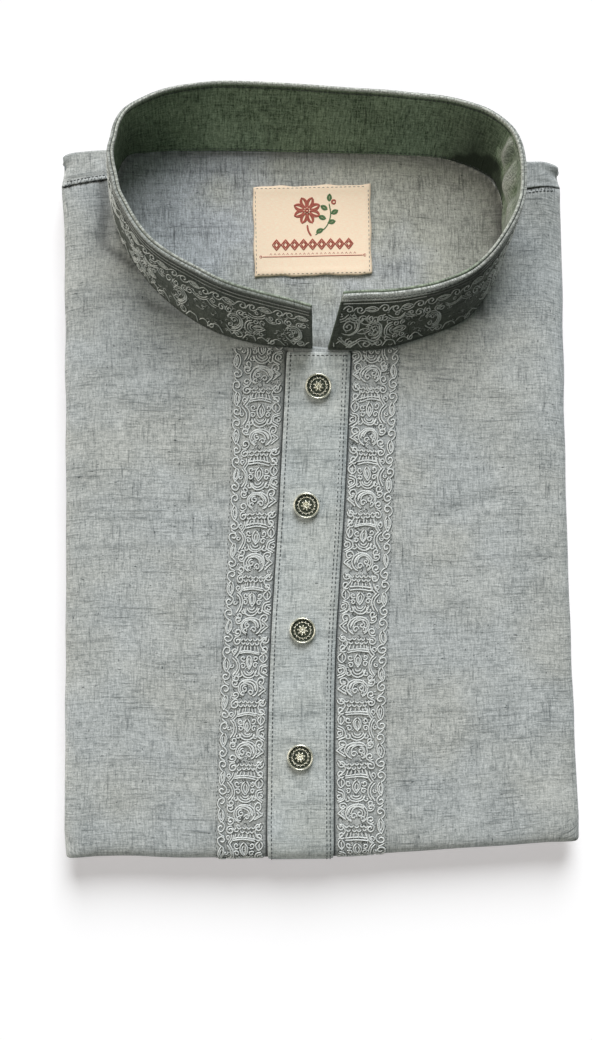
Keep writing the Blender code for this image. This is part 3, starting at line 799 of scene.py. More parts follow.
def front_cloth():
    ROLLS, ALONG = 20, 176
    COLUMNS = (46, 14, 10, 14, 50)      # left, placket edge, placket, placket edge, right
    ACROSS = sum(COLUMNS)
    cols, rows = ACROSS + 2 * ROLLS, ALONG + ROLLS
    i, j = np.meshgrid(np.arange(cols + 1), np.arange(rows + 1), indexing="ij")
    ri, right = np.minimum(i, cols - i), i > cols / 2
    ti, tj = np.clip(ri / ROLLS, 0, 1), np.clip(j / ROLLS, 0, 1)
    r = np.minimum(ti, tj)
    side = np.where(r < 1, (1 - ti) / np.maximum(1 - r, 1e-9), 0)
    tail = np.where(r < 1, (1 - tj) / np.maximum(1 - r, 1e-9), 0)
    side, tail = corner(side, tail)
    weight = tail / np.maximum(side + tail, 1e-9)
    drop = roll_value(SIDE_ROLL, 1, r) * (1 - weight) + roll_value(TAIL_ROLL, 1, r) * weight
    side = side * (FLAT_INSET - roll_value(SIDE_ROLL, 0, r))
    tail = tail * (FLAT_INSET - roll_value(TAIL_ROLL, 0, r))
    qs = np.linspace(0, PACKET_L, 60)
    ys = np.clip(place(np.full(60, 104.0), qs)[1], -182, 60)
    edge_left = np.interp(FLAT_INSET + (PACKET_L - 20 - FLAT_INSET) * np.clip(j - ROLLS, 0, None) / ALONG, qs,
                          nominal(smooth(PLACKET, ys, 1), ys)[0])
    edge_right = np.interp(FLAT_INSET + (PACKET_L - 20 - FLAT_INSET) * np.clip(j - ROLLS, 0, None) / ALONG, qs,
                           nominal(smooth(PLACKET, ys, 2), ys)[0])
    stops = [np.full(p_shape, v) for p_shape, v in ((i.shape, FLAT_INSET),)]
    stops += [edge_left - 3.2, edge_left + 2.2, edge_right - 2.2, edge_right + 3.2,
              np.full(i.shape, PACKET_W - FLAT_INSET)]
    p = np.zeros(i.shape)
    at = ROLLS
    for k, count in enumerate(COLUMNS):
        t = (i - at) / count
        p = np.where((t >= 0) & (t <= 1), stops[k] * (1 - t) + stops[k + 1] * t, p)
        at += count
    p = np.where(ri < ROLLS, np.where(right, PACKET_W - FLAT_INSET + side, FLAT_INSET - side), p)
    x, _ = place(p, np.full(p.shape, PACKET_L * 0.95))
    top = nominal(x, smooth(SHOULDER_SEAM, x) - 0.1)[1]
    q = np.where(j < ROLLS, FLAT_INSET - tail, FLAT_INSET + (top - FLAT_INSET) * (j - ROLLS) / ALONG)
    x, y = place(p, q)
    fade = np.clip(1.15 - drop / 6.0, 0, 1)
    z = height(p, q) - drop + relief(x, y) * fade
    # the seam with the shoulder dips and puckers
    d = smooth(SHOULDER_SEAM, x) - y
    z = z - 0.3 * np.exp(-(d / 0.9) ** 2) + 0.16 * np.sin(x * 1.5) * np.exp(-((d - 2.2) / 1.8) ** 2)
    # ragged swell of the side and tail edges
    out = np.clip(drop / 4.0, 0, 1)
    x = x + out * 0.35 * waves(y, y * 0.3, 34, 11) * np.where(right, 1, -1) * (side > tail)
    y = y + out * 0.45 * waves(x, x * 0.2, 40, 12) * (tail >= side) * (tail > 0)
    verts = np.stack([x, y, z], -1).reshape(-1, 3)
    run_s = np.r_[0, np.cumsum(np.hypot(np.diff(roll_value(SIDE_ROLL, 0, np.linspace(0, 1, 21))),
                                       np.diff(roll_value(SIDE_ROLL, 1, np.linspace(0, 1, 21)))))]
    cloth_x = np.where(ri < ROLLS, np.where(right, 1, -1) * (110 + run_s[-1] - run_s[np.clip(ri, 0, 20)]), p - 124)
    run_t = np.r_[0, np.cumsum(np.hypot(np.diff(roll_value(TAIL_ROLL, 0, np.linspace(0, 1, 21))),
                                       np.diff(roll_value(TAIL_ROLL, 1, np.linspace(0, 1, 21)))))]
    cloth_y = np.where(j < ROLLS, 14 - run_t[-1] + run_t[np.clip(j, 0, 20)], q)
    # the third part is the front's painted shade
    cloth = np.stack([cloth_x, cloth_y, front_shade(x, y)], -1).reshape(-1, 3)
    quads = grid_quads(cols + 1, rows + 1)
    inside, _, foot = inside_neck(verts[:, 0], verts[:, 1])
    verts, quads = cut_neck(verts, quads, inside, foot, None)
    verts, quads, cloth = thicken(verts, quads, 0.7, cloth)
    ob = mesh_object("front_cloth", verts, quads, None, cloth, [BODY])
    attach(ob, "root")
    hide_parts("front_panel")
    return ob


def back_cloth():
    SIDE, ACROSS, TAB, FOLD, UNDER = 14, 96, 14, 16, 130
    cols = ACROSS + 2 * SIDE
    i = np.arange(cols + 1)
    ri, right = np.minimum(i, cols - i), i > cols / 2
    ti = np.clip(ri / SIDE, 0, 1)
    inset, drop = roll_value(SIDE_ROLL, 0, ti), roll_value(SIDE_ROLL, 1, ti)
    flat = 1.4 + (FLAT_INSET - 1.4) * ti ** 1.5
    under = 8.5 + (FLAT_INSET - 8.5) * ti ** 1.2
    inner = FLAT_INSET + (PACKET_W - 2 * FLAT_INSET) * (i - SIDE) / ACROSS

    def across(k):
        return np.where(ri < SIDE, np.where(right, PACKET_W - k, k), inner)

    radius = (EDGE_Z - BACK_Z) / 2
    x, _ = place(across(inset), np.full(cols + 1, PACKET_L * 0.95))
    start = nominal(x, smooth(SHOULDER_SEAM, x) + 0.25)[1]
    stop = PACKET_L - radius
    lines, clothes = [], []
    for j in range(TAB + 1):
        t = j / TAB
        p = across(inset + (flat - inset) * ease(t))
        q = start + (stop - start) * t
        x, y = place(p, q)
        z = height(p, q) - drop * (1 - ease(t)) + 0.25 * relief(x, y)
        d = y - smooth(SHOULDER_SEAM, x)
        z = z + np.where(x > 0, 0.22, 0.5) * np.exp(-(d / 2.0) ** 2) * (1 - np.clip(drop / 3, 0, 1))
        z = z - 0.45 * np.exp(-((d - 2.1) / 0.8) ** 2)
        z = z + 0.38 * np.sin(x * 1.25 + 0.9 * np.sin(x * 0.4)) * np.exp(-((d - 3.2) / 1.7) ** 2)
        z = z + 0.7 * np.exp(-(((x - 101) / 4.0) ** 2 + ((d - 1.6) / 1.2) ** 2))
        z = z + 0.4 * waves(x, y, 9, 23) * np.exp(-((d - 5.0) / 4.0) ** 2)
        z = z - 0.5 * np.exp(-(((x + 103) * 0.8 + (y - 149) * 0.45) / 1.5) ** 2) * (x < -90)
        lines.append(np.stack([x, y, z], -1))
        clothes.append(np.stack([p - 124, 340 + q - start], -1))
    top = lines[-1][:, 2]
    mid, rad = (top + BACK_Z) / 2, (top - BACK_Z) / 2
    for j in range(1, FOLD + 1):
        a = math.pi * j / FOLD
        p = across(flat + (under - flat) * ease(j / FOLD))
        x, y = place(p, stop + radius * math.sin(a) + 0 * p)
        lines.append(np.stack([x, y, mid + rad * math.cos(a)], -1))
        clothes.append(np.stack([p - 124, 356 + 4.2 * j / FOLD + 0 * p], -1))
    for j in range(1, UNDER + 1):
        t = j / UNDER
        t = t * (0.62 + 0.38 * t)          # closer rows where the neck shows them
        p = across(under)
        x, y = place(p, stop + (60.0 - stop) * t + 0 * p)
        lines.append(np.stack([x, y, np.full(cols + 1, BACK_Z)], -1))
        clothes.append(np.stack([p - 124, 360 + (stop - 60) * t + 0 * p], -1))
    grid = np.stack(lines, 1)
    cloth = np.stack(clothes, 1).reshape(-1, 2)
    n, m = grid.shape[:2]
    verts = grid.reshape(-1, 3)
    row = np.tile(np.arange(m), n)
    inside, near, foot = inside_neck(verts[:, 0], verts[:, 1])
    lower = row > TAB + FOLD // 2 + 3
    # the sheet seen through the neck: up to the seam behind, soft hollows
    x, y = verts[:, 0], verts[:, 1]
    lift = 2.1 * np.exp(-(near / np.where(inside, 5.0, 2.2)) ** 2) * ease((y - 132) / 16) * (near < 30)
    swell = 0.35 * waves(x, y, 70, 21) + 0.12 * waves(x, y, 20, 22)
    swell = swell + 0.8 * np.exp(-((x - 66) / 12.0) ** 2) * ease((150 - y) / 30) - 0.3
    swell = swell * ease(near / 14.0) * inside * (near < 1e8)
    verts[:, 2] += lower * (lift + np.clip(swell, -0.2, 1.0))
    # painted shade: on the sheet seen through the neck, at the foot of the band's walls and spreading from the wall on
    # the right; on the cloth outside, a painted shadow along the foot of the band
    painted_shade_right = 0.24 * ease((x - 28) / 45) * ease((y - 78) / 30)
    foot_shade = np.where(lower, np.clip(0.42 * np.exp(-(near / 4.5) ** 2) + painted_shade_right, 0, 0.8) * inside,
                          0.85 * np.exp(-(near / 1.8) ** 2))
    cloth = np.concatenate([cloth, foot_shade[:, None]], 1)
    quads = grid_quads(n, m)
    verts, quads = cut_neck(verts, quads, inside & ~lower, foot, None)
    faces = len(quads)
    verts, quads, cloth = thicken(verts, quads, 0.8, cloth)
    # the face seen through the neck is the cloth's wrong side
    index = np.zeros(len(quads), int)
    index[faces:2 * faces] = 1
    ob = mesh_object("back_cloth", verts, quads, None, cloth, [BODY, INSIDE], index)
    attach(ob, "root")
    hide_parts("back_panel")
    return ob


# --------------------------------------------------------------- hidden layers
def layer_profile(z, bulk):
    """Inset of the folded edges at level z: two folds, then one set back."""
    groups = [(0.0, 4.9), (4.9, 10.4), (10.4, 14.6)]
    back = [0.3, 0.2, 4.6]
    out = np.full(z.shape, 9.0)
    for (a, b), inset in zip(groups, back):
        t = np.clip((z - a) / (b - a), 0, 1)
        inside = (z >= a) & (z <= b)
        value = inset + 3.4 * (1 - np.sqrt(np.clip(1 - (2 * t - 1) ** 2, 0, 1)))
        out = np.where(inside, np.minimum(out, value), out)
    return out + bulk


def layers():
    per_side = 110
    zs = np.r_[0.0, 0.12, np.linspace(0.4, 14.4, 58)]
    steps = np.linspace(-1, 1, per_side + 1)[:-1]
    ring_u, ring_v, run = [], [], []
    for k, (ax, ay, bx, by) in enumerate(((-1, -1, 1, -1), (1, -1, 1, 1), (1, 1, -1, 1), (-1, 1, -1, -1))):
        ring_u.append((ax + bx) / 2 + steps * (bx - ax) / 2)
        ring_v.append((ay + by) / 2 + steps * (by - ay) / 2)
        run.append(k * 300 + (steps + 1) * (124 if k % 2 == 0 else 169))
    u, v, run = np.concatenate(ring_u), np.concatenate(ring_v), np.concatenate(run)
    verts, cloth = [], []
    for z in zs:
        lift = 0.45 * waves(run, run * 0.1, 150, 31)
        zz = np.clip(z + lift * min(z, 14.4 - z) / 7.0, 0, 14.4) if 0 < z < 14.4 else np.full(u.shape, z)
        bulk = 0.35 * waves(run, z * 6.0 + 0 * run, 60, 33) + 0.22 * np.abs(np.sin(zz * 2.6 + 0.5 * np.sin(run * 0.03)))
        inset = layer_profile(np.full(u.shape, max(z, 0.02)), np.clip(bulk, -0.1, 1.2))
        if z == 0:
            inset = inset + 2.2
        out = 1.6 * np.abs(u * v) ** 30
        w, h = PACKET_W / 2 - inset - out, PACKET_L / 2 - inset - out
        low = 4.2 * (1 - v) / 2
        x, y = place(PACKET_W / 2 + u * w, PACKET_L / 2 + v * h + low)
        verts.append(np.stack([x, y, zz], -1))
        cloth.append(np.stack([run, 500 + z * 1.6 + 0 * run], -1))
    n, m = len(zs), len(u)
    quads = grid_quads(n, m, wrap_m=True)
    verts = np.concatenate(verts)
    cloth = np.concatenate(cloth)
    # flat underside and top, filled with inner rings
    tris, extra_v, extra_c, extra_q = [], [], [], []
    base = len(verts)
    for ring, level in ((0, 0.0), (n - 1, 14.4)):
        edge = verts[ring * m:(ring + 1) * m]
        centre = edge.mean(0)
        prev = ring * m + np.arange(m)
        for f in (0.997, 0.93, 0.8, 0.6, 0.35):     # the first ring turns the weave within 0.5 mm
            pts = centre + (edge - centre) * f
            pts[:, 2] = level
            start = base + len(extra_v) * m
            extra_v.append(pts)
            extra_c.append(pts[:, :2] + 700)
            cur = start + np.arange(m)
            extra_q.append(np.stack([prev, np.roll(prev, -1), np.roll(cur, -1), cur], 1))
            prev = cur
        tris.append((prev, centre, level))
    verts = np.concatenate([verts] + extra_v)
    cloth = np.concatenate([cloth] + extra_c)
    quads0 = extra_q[:5]
    quads1 = [q[:, ::-1] for q in extra_q[5:]]
    tri = []
    for k, (prev, centre, level) in enumerate(tris):
        c = len(verts)
        verts = np.concatenate([verts, [[centre[0], centre[1], level]]])
        cloth = np.concatenate([cloth, [[centre[0] + 700, centre[1] + 700]]])
        t = np.stack([np.full(m, c), prev, np.roll(prev, -1)], 1)
        tri.append(t[:, ::-1] if k == 0 else t)
    quads = np.concatenate([quads[:, ::-1]] + [q[:, ::-1] for q in quads0] + [q[:, ::-1] for q in quads1])
    ob = mesh_object("layer_stack", verts, quads, np.concatenate(tri), cloth, [BODY])
    fix_winding(ob)
    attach(ob, "root")
    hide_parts("folded_layers")
    return ob


def fix_winding(ob):
    """Makes the faces of a closed mesh agree and point outwards."""
    import bmesh
    bm = bmesh.new()
    bm.from_mesh(ob.data)
    bmesh.ops.recalc_face_normals(bm, faces=bm.faces)
    bm.to_mesh(ob.data)
    bm.free()


# -------------------------------------------------------------------- placket
def placket():
    ny, nx = 210, 26
    y = np.linspace(59.6, -168.0, ny - 40)
    s = np.linspace(0, 1, nx)
    p_line = []
    for yy in y:
        x = smooth(PLACKET, yy, 1) * (1 - s) + smooth(PLACKET, yy, 2) * s
        p, q = nominal(x, np.full(nx, yy))
        p_line.append(np.stack([p, q], -1))
    p_end, q_end = p_line[-1][:, 0], p_line[-1][:, 1]
    for k in range(1, 41):
        p_line.append(np.stack([p_end, q_end - k * 0.61], -1))
    pq = np.array(p_line)                       # ny, nx, 2
    here, normal = front_frame(pq[..., 0], pq[..., 1])
    edge = np.minimum(s, 1 - s) * 30.0
    pad = 0.35 * (1 - np.exp(-(edge / 1.6) ** 2))[None, :]
    yy = here[..., 1]
    # the row of stitches pulls the cloth down beside each edge
    pull = 0.16 * np.exp(-((edge - 1.7) / 0.5) ** 2)[None, :] * (0.7 + 0.3 * np.sin(yy * 2.4))
    top = 1.05 + pad - pull + 0.12 * waves(here[..., 0], yy, 42, 41)
    top = top - 0.25 * np.exp(-((yy - 59.6) / 1.0) ** 2)
    upper = here + normal * top[..., None]
    lower = here + normal * 0.22
    n, m = upper.shape[:2]
    verts = np.concatenate([upper.reshape(-1, 3), lower.reshape(-1, 3)])
    quads = grid_quads(n, m)
    half = n * m
    i = np.arange(n - 1)
    j = np.arange(m - 1)
    walls = [np.stack([i * m, (i + 1) * m, (i + 1) * m + half, i * m + half], 1)[:, ::-1],
             np.stack([i * m + m - 1, (i + 1) * m + m - 1, (i + 1) * m + m - 1 + half, i * m + m - 1 + half], 1),
             np.stack([j, j + 1, j + 1 + half, j + half], 1),
             np.stack([j, j + 1, j + 1 + half, j + half], 1)[:, ::-1] + (n - 1) * m]
    quads = np.concatenate([quads, quads[:, ::-1] + half] + walls)
    cx = here[..., 0] - smooth(PLACKET, np.clip(yy, -182, 60), 1)
    along = np.repeat((np.arange(n) * 1.36)[:, None], m, 1)
    cloth = np.stack([cx + 900, along], -1).reshape(-1, 2)
    cloth = np.concatenate([cloth, cloth])
    ob = mesh_object("placket_cloth", verts, quads, None, cloth, [PLACKET_CLOTH])
    fix_winding(ob)
    bevel = ob.modifiers.new("edge", "BEVEL")
    bevel.width = 0.00028
    bevel.segments = 2
    bevel.limit_method = "ANGLE"
    bevel.angle_limit = math.radians(50)
    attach(ob, "root")
    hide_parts("placket")
    return ob


# ------------------------------------------------------------------ embroidery
def arc(cx, cy, r, a0, a1, squash=1.0, step=0.55):
    n = max(4, int(abs(math.radians(a1 - a0)) * r / step) + 1)
    a = np.radians(np.linspace(a0, a1, n))
    return np.stack([cx + r * np.cos(a) * squash, cy + r * np.sin(a)], 1)


def spiral(cx, cy, r0, r1, a0, a1, step=0.5):
    """From radius r0 at angle a0 in to radius r1 at a1."""
    n = max(6, int(abs(math.radians(a1 - a0)) * (r0 + r1) / 2 / step) + 1)
    a = np.radians(np.linspace(a0, a1, n))
    r = np.linspace(r0, r1, n)
    return np.stack([cx + r * np.cos(a), cy + r * np.sin(a)], 1)


def line(*pts, step=0.6):
    pts = np.array(pts, float)
    out = [pts[:1]]
    for a, b in zip(pts, pts[1:]):
        n = max(1, int(np.linalg.norm(b - a) / step))
        out.append(a + (b - a) * (np.arange(1, n + 1) / n)[:, None])
    return np.concatenate(out)


def curve(*pts, step=0.55):
    """A smooth curve through a few points."""
    pts = np.array(pts, float)
    k = np.r_[0, np.cumsum(np.linalg.norm(np.diff(pts, axis=0), axis=1))]
    t = np.linspace(0, k[-1], max(4, int(k[-1] / step)))
    return np.stack([smooth(list(zip(k, pts[:, c])), t) for c in (0, 1)], 1)


def lens(cx, cy, length, width, lean=0.0):
    """Two bowed threads that cross at their ends, along u."""
    t = np.linspace(-1, 1, max(6, int(length / 0.55)))
    bow = width / 2 * (1 - t ** 2)
    return [np.stack([cx + t * length / 2, cy + bow + lean * t], 1),
            np.stack([cx + t * length / 2, cy - bow + lean * t], 1)]


def vine(u, v):
    """One repeat of the border vine, 18 mm along u, 4.4 mm wide, centred on v."""
    out = lens(u + 3.0, v, 7.0, 2.9, 0.25) + lens(u + 3.0, v, 4.2, 1.3, 0.15)
    out.append(np.concatenate([curve((u + 6.2, v + 0.1), (u + 7.0, v - 1.3), (u + 8.2, v - 2.0)),
                               spiral(u + 9.0, v + 0.1, 2.0, 0.6, -90, 260)]))
    out.append(np.concatenate([curve((u + 17.9, v + 0.1), (u + 16.9, v + 1.3), (u + 15.6, v + 2.0)),
                               spiral(u + 14.7, v - 0.1, 2.0, 0.6, 90, 440)]))
    out.append(curve((u + 10.6, v + 1.5), (u + 11.9, v + 0.5), (u + 13.0, v - 1.4)))
    return out


def paisley(u, v, flip=1, k=1.0):
    """A drop with a curled tip."""
    return [np.concatenate([curve((u + 4.4 * k, v + 1.2 * flip * k), (u + 2.4 * k, v + 2.1 * flip * k),
                                  (u - 0.6 * k, v + 2.2 * flip * k), (u - 2.6 * k, v + 0.6 * flip * k),
                                  (u - 2.2 * k, v - 1.6 * flip * k), (u + 0.2 * k, v - 2.2 * flip * k),
                                  (u + 1.8 * k, v - 0.9 * flip * k)),
                            spiral(u + 0.6 * k, v - 0.1 * flip * k, 1.3 * k, 0.4, -30 * flip, 250 * flip)])]


def echo(path, gap, start=0.0, stop=1.0):
    """The same line once more, gap mm beside it."""
    t = unit(np.gradient(path, axis=0))
    out = path + gap * np.stack([-t[:, 1], t[:, 0]], 1)
    a = int(start * len(out))
    return out[a:max(int(stop * len(out)), a + 3)]


def loops(u, v0, v1, count, r):
    """A row of small open loops across the strip."""
    return [arc(u, v0 + (v1 - v0) * k / (count - 1), r, -100, 100, 1.25) for k in range(count)]


def strip_repeat(u, top=19.0):
    """One repeat, 30 mm along: v runs from 0 beside the placket to 19 by the vine."""
    out = []
    c = 9.8
    # rosette: a ring in two threads, a scroll over it and a bowl under it
    ring = np.stack([u + 4.3 * np.cos(np.linspace(0.5, 5.8, 44)), c + 5.2 * np.sin(np.linspace(0.5, 5.8, 44))], 1)
    out += [ring, echo(ring, 1.05, 0.12, 0.88)]
    scroll = curve((u - 2.6, c + 3.2), (u - 2.9, c + 0.4), (u - 1.6, c - 2.0), (u + 0.6, c - 2.9))
    out += [scroll, echo(scroll, -1.0), spiral(u - 0.2, c + 1.6, 1.7, 0.4, 200, -230)]
    out += [spiral(u + 1.6, c - 1.5, 1.5, 0.4, 90, 500), spiral(u + 1.9, c + 2.6, 1.3, 0.4, -40, 330)]
    # a diamond runs to the placket
    out += [line((u - 3.0, 4.6), (u, 0.7), (u + 3.0, 4.6)), line((u - 1.5, 4.2), (u, 2.3), (u + 1.5, 4.2))]
    # scrolls towards the vine
    out += [spiral(u - 2.9, 16.4, 2.0, 0.45, -60, 430), spiral(u + 2.8, 16.5, 2.1, 0.45, 60, -430)]
    # ruffles and ribs under the rosette
    out += loops(u + 5.7, c - 4.6, c + 4.6, 5, 0.95) + loops(u + 7.5, c - 3.6, c + 3.6, 4, 0.95)
    out += [line((u + 9.0, c + w * 0.9), (u + 11.6, c + w * 1.1)) for w in (-4.2, -2.6, -0.9, 0.9, 2.6, 4.2)]
    bow = curve((u + 12.9, c - 5.2), (u + 12.2, c), (u + 12.9, c + 5.2))
    out += [bow, echo(bow, 1.1)]
    # a leaf between scrolls
    out += lens(u + 17.0, c, 6.6, 3.4) + lens(u + 17.2, c, 4.2, 1.5)
    out += [spiral(u + 15.4, c - 3.6, 1.5, 0.4, 60, -330), spiral(u + 15.4, c + 3.6, 1.5, 0.4, -60, 330),
            spiral(u + 18.9, c - 3.5, 1.4, 0.4, 240, -160), spiral(u + 18.9, c + 3.5, 1.4, 0.4, -240, 160)]
    # fan
    for r in (1.5, 2.7, 4.0):
        out.append(arc(u + 20.4, c, r, -85, 85, 1.0))
    out += [spiral(u + 22.6, c - 4.4, 1.5, 0.4, 170, -170), spiral(u + 22.6, c + 4.4, 1.5, 0.4, -170, 170)]
    # beside the placket: twin loops, leaf, C scroll, drop
    out += [spiral(u + 6.3, 2.7, 2.1, 0.5, -120, 330), spiral(u + 10.7, 2.6, 2.0, 0.5, 60, -360),
            curve((u + 4.4, 1.0), (u + 8.6, 4.6), (u + 12.6, 1.0))]
    out += lens(u + 15.2, 2.5, 4.8, 3.6) + [line((u + 13.6, 2.5), (u + 16.8, 2.5))]
    hook = curve((u + 18.2, 0.9), (u + 19.4, 4.0), (u + 22.2, 4.5), (u + 24.6, 1.2))
    out += [hook, echo(hook, -1.1), spiral(u + 21.6, 1.7, 1.2, 0.4, 150, 500)]
    out += paisley(u + 26.6, 3.4, 1, 0.72)
    # towards the vine: scroll, leaf, tendril
    out += [spiral(u + 7.4, 16.4, 2.2, 0.45, 200, -300), spiral(u + 11.6, 17.4, 1.3, 0.4, 0, 400)]
    leaf = curve((u + 9.6, 14.6), (u + 12.2, 14.9), (u + 14.8, 16.8))
    out += [leaf, echo(leaf, 1.1)]
    tendril = curve((u + 14.6, 18.6), (u + 17.0, 16.6), (u + 20.2, 16.2), (u + 23.4, 18.0))
    out += [tendril, echo(tendril, -1.15, 0.1, 0.9), spiral(u + 18.6, 18.6, 1.1, 0.4, 200, 560)]
    out += [spiral(u + 24.6, 16.2, 1.9, 0.45, 90, -330)]
    return out


def strip_threads(side):
    """Embroidered strip on the left (-1) or right (1) of the placket."""
    tubes = Tubes(4)
    inner, outer = (1, 2) if side < 0 else (3, 4)
    length = 264.0
    y_top = 62.5
    paths = []
    first = 13.8 if side < 0 else 13.4
    for k in range(-1, 9):
        paths += strip_repeat(first + k * 29.8)
    for k in range(-1, 15):
        paths += vine(k * 18.0 + (4.0 if side < 0 else 9.0), 21.1)
    q_flat = 14.0
    local = np.random.default_rng(50 + side)
    # dark tubes: painted shadows under and between the cords, and dark dots along the edge
    under = Tubes(3)
    kept = []
    for path in paths:
        sway = np.stack([waves(path[:, 0], path[:, 1], 16, 60 + side), waves(path[:, 0], path[:, 1], 16, 70 + side)], 1)
        path = path + 0.45 * sway + local.normal(0, 0.12, 2) + local.normal(0, 0.05, path.shape)
        keep = (path[:, 0] > 0.4) & (path[:, 0] < length)
        if keep.sum() < 3:
            continue
        runs = np.split(np.where(keep)[0], np.where(np.diff(np.where(keep)[0]) > 1)[0] + 1)
        kept += [path[run] for run in runs if len(run) > 2]
    every = np.concatenate(kept)
    y = y_top - every[:, 0]
    yc = np.clip(y, -167.0, 70)
    a, b = smooth(STRIPS, yc, inner), smooth(STRIPS, yc, outer)
    p, q = nominal(a + (b - a) * every[:, 1] / 23.3, yc)
    here, normal = front_frame(p, q - (yc - y), 0.5)
    at = 0
    for path in kept:
        k = slice(at, at + len(path))
        # a light cord over a wider, flat dark tube that is its painted shadow
        tubes.add(here[k] + normal[k] * (0.24 + 0.16 * local.random()), normal[k], 0.40)
        under.add(here[k] + normal[k] * 0.06, normal[k], 0.78, flat=0.3)
        at += len(path)
    # a row of dark dots along the outer edge
    edge_u = np.arange(1.0, length - 1.0, 2.1)
    for u in edge_u:
        yy = y_top - np.array([u, u + 0.5, u + 1.0])
        yc = np.clip(yy, -167.0, 70)
        a, b = smooth(STRIPS, yc, inner), smooth(STRIPS, yc, outer)
        p, q = nominal(a + (b - a) * (23.6 + 0.25 * math.sin(u * 1.1)) / 23.3, yc)
        spot, up = front_frame(p, q - (yc - yy), 0.5)
        under.add(spot + up * 0.05, up, 0.24, flat=0.5)
    # little loops worked close together fill the ground between the cords: most are only dark tubes, painted shadow
    # lines, the rest light loops with a painted shadow under them
    count, steps = 620, 8
    cu, cv = local.uniform(1.6, length - 1.6, count), local.uniform(1.2, 19.0, count)
    radius, begin = local.uniform(0.55, 1.25, count), local.uniform(0, 2 * math.pi, count)
    sweep = local.uniform(2.4, 4.6, count) * np.where(local.random(count) < 0.5, -1, 1)
    angle = begin[:, None] + sweep[:, None] * np.linspace(0, 1, steps)[None, :]
    wide = radius[:, None] * (1 - 0.35 * np.linspace(0, 1, steps)[None, :])
    fu, fv = (cu[:, None] + wide * np.cos(angle)).ravel(), (cv[:, None] + wide * np.sin(angle)).ravel()
    y = y_top - fu
    yc = np.clip(y, -167.0, 70)
    a, b = smooth(STRIPS, yc, inner), smooth(STRIPS, yc, outer)
    p, q = nominal(a + (b - a) * fv / 23.3, yc)
    here, normal = front_frame(p, q - (yc - y), 0.5)
    for k in range(count):
        part = slice(k * steps, (k + 1) * steps)
        if k % 5 < 3:
            under.add(here[part] + normal[part] * 0.06, normal[part], 0.26, flat=0.6)
        else:
            tubes.add(here[part] + normal[part] * 0.10, normal[part], 0.25)
            under.add(here[part] + normal[part] * 0.04, normal[part], 0.50, flat=0.3)
    ob = tubes.object("embroidery_%s" % ("left" if side < 0 else "right"), THREAD)
    ob2 = under.object("embroidery_edge_%s" % ("left" if side < 0 else "right"), DARK_THREAD_AND_PAINTED_SHADOW)
    for o in (ob, ob2):
        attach(o, "root")
    return ob


